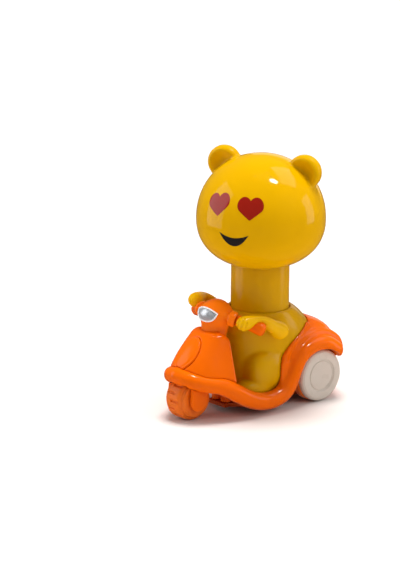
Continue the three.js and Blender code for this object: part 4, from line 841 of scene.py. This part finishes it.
def grips():
    flare, end = BAR_LENGTH - 2 * GRIP_FLARE, BAR_LENGTH + GRIP_PAST_BAR
    profile = [(0.0, GRIP_START), (GRIP_RADIUS, GRIP_START), (GRIP_RADIUS, flare)]
    for share in np.arange(1, 9) / 8:
        radius = mix(GRIP_RADIUS, GRIP_FLARE, smoothstep(0, 1, share))
        profile.append((radius, mix(flare, end - GRIP_ROUND, share)))
    for angle in np.linspace(0, math.pi / 2, 7)[1:-1]:
        radius = GRIP_FLARE * math.cos(angle) ** GRIP_ROUND_POWER
        profile.append((radius, end - GRIP_ROUND * (1 - math.sin(angle))))
    profile.append((0.0, end))
    for name, side in SIDES.items():
        mesh = turned_mesh(f"{name}_bar_grip", profile, 48, BAR_AXIS * (side, 1, 1), bar_point(0, side), 0.2)
        piece(mesh, ORANGE, "chassis", [f"{name}_grip"])


def wire_rings(run, radius, sides):
    """The rings of a round wire along a closed loop of points."""
    run = np.array(run)
    ahead = np.roll(run, -1, axis=0) - np.roll(run, 1, axis=0)
    ahead /= np.linalg.norm(ahead, axis=1)[:, None]
    across = np.cross(ahead, (0, 1, 0))
    across /= np.linalg.norm(across, axis=1)[:, None]
    third = np.cross(ahead, across)
    return [[p + radius * (u * c + v * s) for c, s in circle(sides)] for p, u, v in zip(run, across, third)]


def headlight():
    outline, middle = lens_outline(), (LENS_RISE - LENS_DROP) / 2
    rings = [[cowl_front(0, LENS_Z + middle, LENS_EDGE + LENS_CROWN)]]
    for share in np.arange(1, LENS_RINGS + 1) / LENS_RINGS:
        rise = LENS_EDGE + LENS_CROWN * (1 - share**2)
        rings.append([cowl_front(x * share, LENS_Z + mix(middle, z, share), rise) for x, z in outline])
    rings.append([cowl_front(x, LENS_Z + z, -LENS_SINK) for x, z in outline])
    mesh = ring_mesh("headlight_glass", rings, caps=[-1])
    piece(mesh, SILVER, "chassis", ["headlight_lens"])
    run = [cowl_front(x, LENS_Z + z, RIM_RISE) for x, z in lens_outline(RIM_OUT)]
    rings = wire_rings(run, RIM_RADIUS, RIM_SIDES)
    mesh = ring_mesh("headlight_rim", rings, closed=True, sharp_above=math.pi)
    piece(mesh, RIM_WHITE, "chassis", ())


# Front shield and badge
def shield_form(space, grow=0.0):
    lean = (space.z - SHIELD_FOOT_Z) / (SHIELD_TOP_Z - SHIELD_FOOT_Z)
    ahead = mix(SHIELD_FOOT_AHEAD, SHIELD_TOP_AHEAD, np.clip(lean, 0, 1.1) ** SHIELD_BOW) + grow - SHIELD_REAR
    half = np.maximum(mix(SHIELD_FOOT_HALF, SHIELD_TOP_HALF, lean) + grow, 1)
    forward = np.maximum(-space.y - SHIELD_REAR, 0) / ahead
    out = rounded(abs(space.x) / half, forward, SHIELD_POWER)
    return level(space, (out - 1) * half)


def shield_top(space, drop=0.0):
    return space.z - (SHIELD_TOP_Z - SHIELD_TOP_SLOPE * (space.y + SHIELD_TOP_AHEAD)) + drop


def badge_oval(space, grow=0.0):
    """Signed distance from the badge's outline, measured along the leaning face of the shield."""
    lean = math.atan2(SHIELD_FOOT_AHEAD - SHIELD_TOP_AHEAD, SHIELD_TOP_Z - SHIELD_FOOT_Z)
    share = (BADGE_Z - SHIELD_FOOT_Z) / (SHIELD_TOP_Z - SHIELD_FOOT_Z)
    face_y = -mix(SHIELD_FOOT_AHEAD, SHIELD_TOP_AHEAD, share**SHIELD_BOW)
    up = (space.y - face_y) * math.sin(lean) + (space.z - BADGE_Z) * math.cos(lean)
    half_width, half_height = BADGE_WIDTH / 2 + grow, BADGE_HEIGHT / 2 + grow
    out = np.sqrt((space.x / half_width) ** 2 + (up / half_height) ** 2)
    return level(space, (out - 1) * half_width)


def shield():
    space = Space((-15, -45, 12), (15, -22, 37), 0.35)
    outer = shield_form(space)
    field = meet(outer, np.maximum(space.y + SHIELD_REAR, space.full(-FAR)), 0.5)
    field = meet(field, shield_top(space), 3.2)
    inner = np.maximum(shield_form(space, -SHIELD_WALL), shield_top(space, SHIELD_WALL))
    field = carve(field, inner, 0.4)
    recess = np.maximum(badge_oval(space, BADGE_GAP), -(outer + BADGE_RECESS))
    field = carve(field, recess, 0.25)
    field = np.maximum(field, -(skirt(space) - 0.02))
    field = np.maximum(field, bead_height(space) - 0.5 - space.z)
    mesh = field_mesh("leg_shield", space, field)
    piece(mesh, ORANGE, "chassis", ["front_shield"])
    plate = np.maximum(outer - BADGE_RISE, -(outer + BADGE_SINK))
    plate = meet(plate, badge_oval(space), 0.5)
    groove = np.maximum(abs(badge_oval(space) + GROOVE_INSET) - GROOVE_HALF, GROOVE_FLOOR - outer)
    plate = carve(plate, groove, 0.2)
    plate = np.maximum(plate, -(skirt(space) - 0.05))
    mesh = field_mesh("badge_oval", space, plate)
    piece(mesh, ORANGE, "chassis", ["badge_plate"])


# Scooter body
def bead_run():
    run = [
        (0, -NOSE_AHEAD, NOSE_Z + NOSE_LIFT),
        (NOSE_HALF * 0.58, -NOSE_AHEAD + 1.6, NOSE_Z - 1 + NOSE_LIFT),
        (NOSE_HALF, -NOSE_AHEAD + 6.6, NOSE_Z - 2.6 + NOSE_LIFT * 0.85),
        (mix(NOSE_HALF, BOARD_HALF, 0.45), -NOSE_AHEAD + 13.4, NOSE_Z - 4 + NOSE_LIFT * 0.5),
        (mix(NOSE_HALF, BOARD_HALF, 0.76), -NOSE_AHEAD + 19, NOSE_Z - 6.9),
        (mix(NOSE_HALF, BOARD_HALF, 0.93), -BOARD_AHEAD - 6.6, BOARD_Z + 1.8),
        (BOARD_HALF, -BOARD_AHEAD, BOARD_Z),
        (mix(BOARD_HALF, FENDER_HALF, 0.5), -BOARD_AHEAD + 6.2, BOARD_Z + 0.4),
        (FENDER_HALF, -BOARD_AHEAD + 11, BOARD_Z + 3),
    ]
    for share in np.linspace(0, 1, 7):
        angle = math.radians(mix(ARCH_FROM, ARCH_TO, share))
        arch = ARCH_RADIUS * math.cos(angle), ARCH_RADIUS * math.sin(angle)
        run.append((FENDER_HALF, ARCH_Y + arch[0], ARCH_Z + arch[1]))
    return spline(run, 5)


def bead_sizes(share):
    size = mix(BEAD_RADII["nose"], BEAD_RADII["board"], smoothstep(0.05, 0.35, share))
    size = mix(size, BEAD_RADII["fender"], smoothstep(0.55, 0.8, share))
    return mix(size, BEAD_RADII["tail"], smoothstep(0.85, 1, share))


BEAD = bead_run()
BEAD_SHARE = shares(BEAD)
BEAD_SIZE = bead_sizes(BEAD_SHARE)


def bead(space):
    return np.minimum(*(tube(space, BEAD * (side, 1, 1), BEAD_SIZE) for side in (1, -1)))


def bead_height(space):
    """Height of the bead's centre line, by how far back it is."""
    ahead = BEAD_SHARE < 0.5
    return np.interp(space.y, BEAD[ahead, 1], BEAD[ahead, 2]).astype(np.float32)


def deck(space):
    """A thin plate between the two beads from the nose to the footboard."""
    part = BEAD_SHARE <= DECK_END
    half = np.interp(space.y, BEAD[part, 1], BEAD[part, 0])
    height = np.interp(space.y, BEAD[part, 1], BEAD[part, 2])
    sides = abs(space.x) - half
    ends = np.maximum(BEAD[0, 1] - space.y, space.y - BEAD[part, 1][-1])
    return np.maximum(np.maximum(abs(space.z - height) - DECK_HALF_THICKNESS, sides), ends)


def skirt(space):
    return join(bead(space), deck(space), 0.8)


def rear_cowl(space, inset=0.0):
    top = spline([
        (0, REAR_FRONT_Y, REAR_FRONT_Z),
        (0, mix(REAR_FRONT_Y, REAR_CREST_Y, 0.4), mix(REAR_FRONT_Z, REAR_TOP_Z, 0.72)),
        (0, REAR_CREST_Y, REAR_TOP_Z),
        (0, mix(REAR_CREST_Y, REAR_TAIL_Y, 0.55), mix(REAR_TAIL_Z, REAR_TOP_Z, 0.84)),
        (0, REAR_TAIL_Y, REAR_TAIL_Z),
    ])
    height = np.interp(space.y, top[:, 1], top[:, 2]) - inset - REAR_SKIRT_Z
    share = (space.y - REAR_FRONT_Y) / (REAR_TAIL_Y - REAR_FRONT_Y)
    rounding = np.sqrt(1 - smoothstep(0.72, 1.12, share))
    half = mix(REAR_COWL_HALF, REAR_TAIL_HALF, smoothstep(0.2, 0.7, share)) * rounding - inset
    rise = np.maximum(space.z - REAR_SKIRT_Z + inset, 0) / np.maximum(height + inset, 0.5)
    out = rounded(abs(space.x) / half, rise, REAR_POWER)
    side = level(space, (out - 1) * half)
    ends = np.maximum(REAR_FRONT_Y + inset - space.y, space.y - REAR_TAIL_Y + inset)
    ends = np.maximum(ends, REAR_SKIRT_Z - inset - space.z)
    return meet(side, ends, 1.2)


def scooter_form(space):
    """Rear cowl, bead, deck and tunnel as one solid form, with the rolls and lips on it."""
    field = join(rear_cowl(space), bead(space), 1.6)
    roll, lip = spline(ROLL_RUN, 6), spline(LIP_RUN, 5)
    taper = ROLL_RADIUS * mix(0.3, 1, smoothstep(0, 0.15, shares(roll)))
    taper = mix(taper, ROLL_END_RADIUS, smoothstep(0.65, 1, shares(roll)))
    for side in SIDES.values():
        field = join(field, tube(space, roll * (side, 1, 1), taper), 1.3)
        field = join(field, tube(space, lip * (side, 1, 1), mix(*LIP_RADII, shares(lip))), 1.5)
    floor_z, roof_z = BASE_TOP_Z + BASE_GAP, REAR_SKIRT_Z + TUNNEL_ABOVE_SKIRT
    tunnel = box(space, (-TUNNEL_HALF, REAR_FRONT_Y, floor_z), (TUNNEL_HALF, TUNNEL_REAR, roof_z))
    panel = box(space, (TUNNEL_INSIDE, REAR_FRONT_Y, BOARD_Z + 3), (FENDER_HALF, PANEL_REAR_Y, roof_z))
    panel = np.minimum(panel, panel[::-1])
    field = join(join(field, tunnel, 0.4), panel, 0.8)
    field = join(field, deck(space), 0.8)
    for node in ("front_left", "front_right"):
        x, y, _, _ = screw_place(node)
        ends = np.maximum(floor_z - space.z, space.z - BOSS_TOP_Z)
        field = join(field, np.maximum(rod_z(space, x, y, BOSS_RADIUS), ends), 0.4)
    return field


def scooter_body():
    space = Space((-21, -47, 1), (21, 37, 35), 0.45)
    field = scooter_form(space)
    front_well = rod_x(space, FRONT_AXLE_Y, FRONT_RADIUS, FRONT_RADIUS + WELL_GAP, FORK_X[0])
    cavity = np.maximum(rear_cowl(space, BODY_WALL), REAR_SKIRT_Z + 1 - space.z)
    cavity = np.maximum(cavity, -wheel_room(space, BODY_WALL))
    tunnel_hollow = box(
        space,
        (-TUNNEL_INSIDE, REAR_FRONT_Y - 5, 0),
        (TUNNEL_INSIDE, TUNNEL_REAR - TUNNEL_REAR_WALL, REAR_SKIRT_Z + 6),
    )
    seat_half = TUNNEL_HALF + SEAT_SIDE_GAP
    seat = box(space, (-seat_half, SEAT_FRONT_Y, 0), (seat_half, SEAT_REAR_Y, BEYOND))
    axle_hole = rod_x(space, REAR_AXLE_Y, REAR_RADIUS, AXLE_HOLE_RADIUS)
    for opening, blend in (
        (wheel_room(space, shift=WELL_SHIFT), 0.6),
        (front_well, 0.5),
        (cavity, 0.3),
        (tunnel_hollow, 0.3),
        (axle_hole, 0.2),
        (bear_form(space, 0.15), 0.5),
        (seat, 0.3),
    ):
        field = carve(field, opening, blend)
    mesh = field_mesh("scooter_shell", space, field)
    piece(mesh, ORANGE, "chassis", ["scooter_body"])


# Wheels and fork
def front_wheel():
    space = Space((-7, FRONT_AXLE_Y - 9.2, -0.8), (7, FRONT_AXLE_Y + 9.2, 17.8), 0.25)
    out = np.sqrt((space.y - FRONT_AXLE_Y) ** 2 + (space.z - FRONT_RADIUS) ** 2)
    x = abs(space.x)
    crown = FRONT_RADIUS - TREAD_CROWN * (x / FRONT_TREAD_HALF) ** 4
    tyre = meet(out - crown, x - FRONT_TREAD_HALF, 1.4)
    hub = meet(out - FRONT_HUB_RADIUS, x - FRONT_HUB_HALF, 0.8)
    field = join(tyre, hub, 0.3)
    angle = np.arctan2(space.z - FRONT_RADIUS, space.y - FRONT_AXLE_Y)
    turn = angle / (2 * math.pi) * TREAD_NOTCHES
    nearest = np.round(turn)
    arc = (turn - nearest) * 2 * math.pi / TREAD_NOTCHES * FRONT_RADIUS
    side = np.where(nearest % 2 == 0, 1.0, -1.0)
    notch = np.maximum(abs(arc) - NOTCH_WIDTH / 2, abs(space.x * side - NOTCH_ASIDE) - NOTCH_REACH)
    notch = np.maximum(notch, FRONT_RADIUS - NOTCH_DEPTH - out)
    field = carve(field, notch, 0.35)
    field = np.maximum(field, FRONT_BORE - out)
    mesh = field_mesh("front_tyre", space, field)
    piece(mesh, TYRE_ORANGE, "front_wheel", ["front_wheel"])


def fork_legs():
    for name, side in SIDES.items():
        x0, x1 = FORK_X
        low = (min(side * x0, side * x1) - 1.5, FRONT_AXLE_Y - 8, 1.5)
        space = Space(low, (low[0] + 5, FRONT_AXLE_Y + 14, 20), 0.25)
        foot = np.sqrt((space.y - FRONT_AXLE_Y) ** 2 + (space.z - FRONT_RADIUS) ** 2) - FORK_FOOT_RADIUS
        share = np.clip((space.z - FRONT_RADIUS) / (FORK_TOP_Z - FRONT_RADIUS), 0, 2)
        middle = mix(FRONT_AXLE_Y, -FORK_TOP_AHEAD, share)
        half = mix(FORK_FOOT_RADIUS, FORK_TOP_HALF, share)
        leg = np.maximum(abs(space.y - middle) - half, FRONT_RADIUS - space.z)
        outline = np.minimum(foot, leg)
        field = meet(outline, abs(abs(space.x) - (x0 + x1) / 2) - (x1 - x0) / 2, 0.7)
        field = np.maximum(field, space.z - bead_height(space))
        field = np.maximum(field, -(skirt(space) - 0.05))
        mesh = field_mesh(f"{name}_fork", space, field)
        piece(mesh, ORANGE, "chassis", [f"{name}_fork_leg"])


def rear_wheels():
    for name, side in SIDES.items():
        hub = (0, REAR_AXLE_Y, REAR_RADIUS)
        inner, outer = TYRE_X
        tyre = [
            (TYRE_BORE, inner), (REAR_RADIUS - 2.5, inner), (REAR_RADIUS - 0.8, inner + 0.3),
            (REAR_RADIUS, inner + 1.1), (REAR_RADIUS, outer - 0.7), (REAR_RADIUS - 0.5, outer),
            (TYRE_BORE, outer),
        ]
        mesh = turned_mesh(f"{name}_tyre", tyre, 96, (side, 0, 0), hub, 0.3)
        piece(mesh, TYRE_ORANGE, "rear_wheels", [f"{name}_rear_tyre"])
        inner, outer = DISC_X
        rim = REAR_RADIUS - 0.25
        disc = [
            (0.0, inner), (rim, inner), (rim, outer - 1.1), (rim - 0.35, outer - 0.4), (rim - 1.1, outer),
            (rim - DISC_RIM, outer - 0.1), (rim - DISC_RIM - 0.35, outer - DISC_STEP - 0.1),
            (DISC_HUB + 1.0, outer - DISC_STEP - 0.05), (DISC_HUB + 0.85, outer - DISC_STEP - 0.3),
            (DISC_HUB + 0.6, outer - DISC_STEP - 0.3), (DISC_HUB + 0.45, outer - DISC_STEP),
            (DISC_HUB * 0.5, outer - DISC_STEP - 0.12), (0.0, outer - DISC_STEP - 0.16),
        ]
        mesh = turned_mesh(f"{name}_disc", disc, 96, (side, 0, 0), hub, 0.12)
        piece(mesh, CREAM, "rear_wheels", [f"{name}_wheel_disc"])


# Fasteners, spring and the inner pieces
def screw_place(node):
    """A screw's x and y from the neck's axis, and the heights of its ends."""
    low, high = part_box(f"{node}_screw")
    return (low.x + high.x) / 2 / MM, ((low.y + high.y) / 2 - NECK_Y) / MM, low.z / MM, high.z / MM


def screws():
    for node in ("front_left", "front_right", "rear_left", "rear_right"):
        centre_x, centre_y, bottom, top = screw_place(node)
        low = (centre_x - 2.6, centre_y - 2.6, bottom - 0.6)
        space = Space(low, (centre_x + 2.6, centre_y + 2.6, top + 0.6), 0.16)
        x, y, z = space.around((centre_x, centre_y, bottom))
        out = np.sqrt(x**2 + y**2)
        head = meet(out - SCREW_HEAD_RADIUS, abs(z - SCREW_HEAD_HEIGHT / 2) - SCREW_HEAD_HEIGHT / 2, 0.4)
        thread = THREAD_DEPTH * np.cos(2 * math.pi * space.z / THREAD_PITCH - np.arctan2(y, x))
        shank = meet(out - SCREW_SHANK_RADIUS - thread, np.maximum(-z, space.z - top), 0.3)
        slots = np.minimum(
            np.maximum(abs(x) - SLOT_HALF, abs(y) - SLOT_REACH),
            np.maximum(abs(y) - SLOT_HALF, abs(x) - SLOT_REACH),
        )
        slots = np.maximum(slots, z - SLOT_DEPTH)
        field = carve(join(head, shank, 0.2), slots, 0.12)
        mesh = field_mesh(f"{node}_cross_screw", space, field)
        piece(mesh, STEEL, "chassis", [f"{node}_screw"])


def spring():
    low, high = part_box("return_spring")
    steps = SPRING_TURNS * SPRING_STEPS
    up = np.array((0, 0, 1))
    rings = []
    for i in range(steps + 1):
        angle = 2 * math.pi * i / SPRING_STEPS
        out = np.array((math.cos(angle), math.sin(angle), 0))
        height = mix(low.z / MM + SPRING_WIRE, high.z / MM - SPRING_WIRE, i / steps)
        centre = out * SPRING_COIL + up * height
        rings.append([centre + SPRING_WIRE * (out * c + up * s) for c, s in circle(SPRING_SIDES)])
    mesh = ring_mesh("coil_spring", rings, caps=(0, -1), sharp_above=math.pi)
    obj = piece(mesh, STEEL, "chassis", ["return_spring"])
    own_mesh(obj)


def inner_pieces():
    finishes_and_shade = {
        NYLON: ["head_socket", "press_rack", "compound_gear", "idler_gear", "drive_gear", "ratchet_hub",
                "left_axle_bush", "right_axle_bush"],
        STEEL: ["front_axle", "rear_axle", "compound_shaft", "idler_shaft"],
        DARK: ["left_gear_plate", "right_gear_plate", "spring_seat"],
        # The base plate takes the dark orange, which is painted shade.
        PAINTED_SHADE_ORANGE: ["base_plate"],
    }
    for material, names in finishes_and_shade.items():
        for name in names:
            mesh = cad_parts[name].data
            mesh.materials.clear()
            mesh.materials.append(material)


# Stage
def camera_axes():
    a, e, r = VIEW_AZIMUTH, VIEW_ELEVATION, VIEW_ROLL
    right = Vector((math.cos(a), math.sin(a), 0))
    back = Vector((math.sin(a) * math.cos(e), -math.cos(a) * math.cos(e), math.sin(e)))
    up = back.cross(right)
    return right * math.cos(r) + up * math.sin(r), up * math.cos(r) - right * math.sin(r), back


def camera():
    right, up, back = camera_axes()
    aside = (IMAGE_WIDTH / 2 - NECK_FOOT_PIXEL[0]) / PIXELS_PER_MM
    above = (NECK_FOOT_PIXEL[1] - IMAGE_HEIGHT / 2) / PIXELS_PER_MM
    place = Vector((0, NECK_Y, 0)) + (right * aside + up * above + back * CAMERA_DISTANCE) * MM
    data = bpy.data.cameras.new("camera")
    data.sensor_width = SENSOR
    data.lens = SENSOR * CAMERA_DISTANCE * PIXELS_PER_MM / IMAGE_HEIGHT
    data.clip_end = 20
    obj = bpy.data.objects.new("camera", data)
    obj.matrix_world = Matrix.Translation(place) @ Matrix((right, up, back)).transposed().to_4x4()
    bpy.context.scene.collection.objects.link(obj)
    bpy.context.scene.camera = obj


def lamp(name, kind, towards, energy, lights, size, distance=0.0):
    """A lamp in the given direction from the head. It `lights` matt shading, gloss or both."""
    target = Vector((0, NECK_Y, HEAD_WIDEST_Z * MM))
    direction = Vector(towards).normalized()
    data = bpy.data.lights.new(name, kind)
    data.energy = energy
    if kind == "AREA":
        data.shape = "RECTANGLE"
        data.size, data.size_y = size
    else:
        data.angle = size
    obj = bpy.data.objects.new(name, data)
    obj.location = target + direction * distance
    obj.rotation_euler = direction.to_track_quat("Z", "Y").to_euler()
    obj.visible_glossy = lights != "matt"
    obj.visible_diffuse = lights != "gloss"
    bpy.context.scene.collection.objects.link(obj)


def stage():
    scene = bpy.context.scene
    scene.view_settings.view_transform = "Standard"
    world = bpy.data.worlds.new("studio")
    scene.world = world
    world.use_nodes = True
    fill(world.node_tree.nodes["Background"], {"Color": (1, 1, 1, 1), "Strength": 0.1})
    lamp("key_light", "SUN", (-0.06, 0.08, 1.0), 3.3, "matt", math.radians(24))
    lamp("fill_light", "SUN", (0.0, 0.0, 1.0), 0.8, "matt", math.radians(150))
    lamp("left_window", "AREA", (-0.66, -0.70, 0.25), 1.8, "both", (0.5, 0.75), 0.7)
    lamp("right_fill", "AREA", (0.8, 0.4, 0.5), 2.2, "matt", (0.7, 0.7), 0.8)
    lamp("right_window", "AREA", (0.572, 0.809, 0.132), 0.55, "gloss", (0.24, 0.42), 0.7)
    lamp("rear_fill", "AREA", (-0.2, 0.9, 0.45), 2.4, "matt", (0.8, 0.6), 0.95)
    lamp("backdrop", "AREA", (-0.55, 0.82, 0.12), 0.25, "gloss", (0.45, 0.3), 0.75)
    lamp("rear_window", "AREA", (0.118, 0.561, 0.822), 0.9, "gloss", (0.5, 0.34), 0.75)
    lamp("ceiling_lamp", "AREA", (0.261, 0.157, 0.952), 4.2, "gloss", (0.085, 0.15), 0.8)
    floor_mesh = bpy.data.meshes.new("floor")
    corners = [(x * FLOOR_REACH, y * FLOOR_REACH, 0) for x, y in ((-1, -1), (1, -1), (1, 1), (-1, 1))]
    floor_mesh.from_pydata(corners, [], [(0, 1, 2, 3)])
    floor = bpy.data.objects.new("floor", floor_mesh)
    scene.collection.objects.link(floor)
    floor_mesh.materials.append(plastic("floor_paper", (224, 216, 212), 0.9, mottle=0.0, specular=0.0))
    floor.visible_glossy = False


camera()
head_shells()
face()
neck()
bear_body()
for arm_name, arm_side in SIDES.items():
    arm(arm_name, arm_side)
handlebar()
grips()
headlight()
shield()
scooter_body()
front_wheel()
fork_legs()
rear_wheels()
screws()
spring()
inner_pieces()
stage()
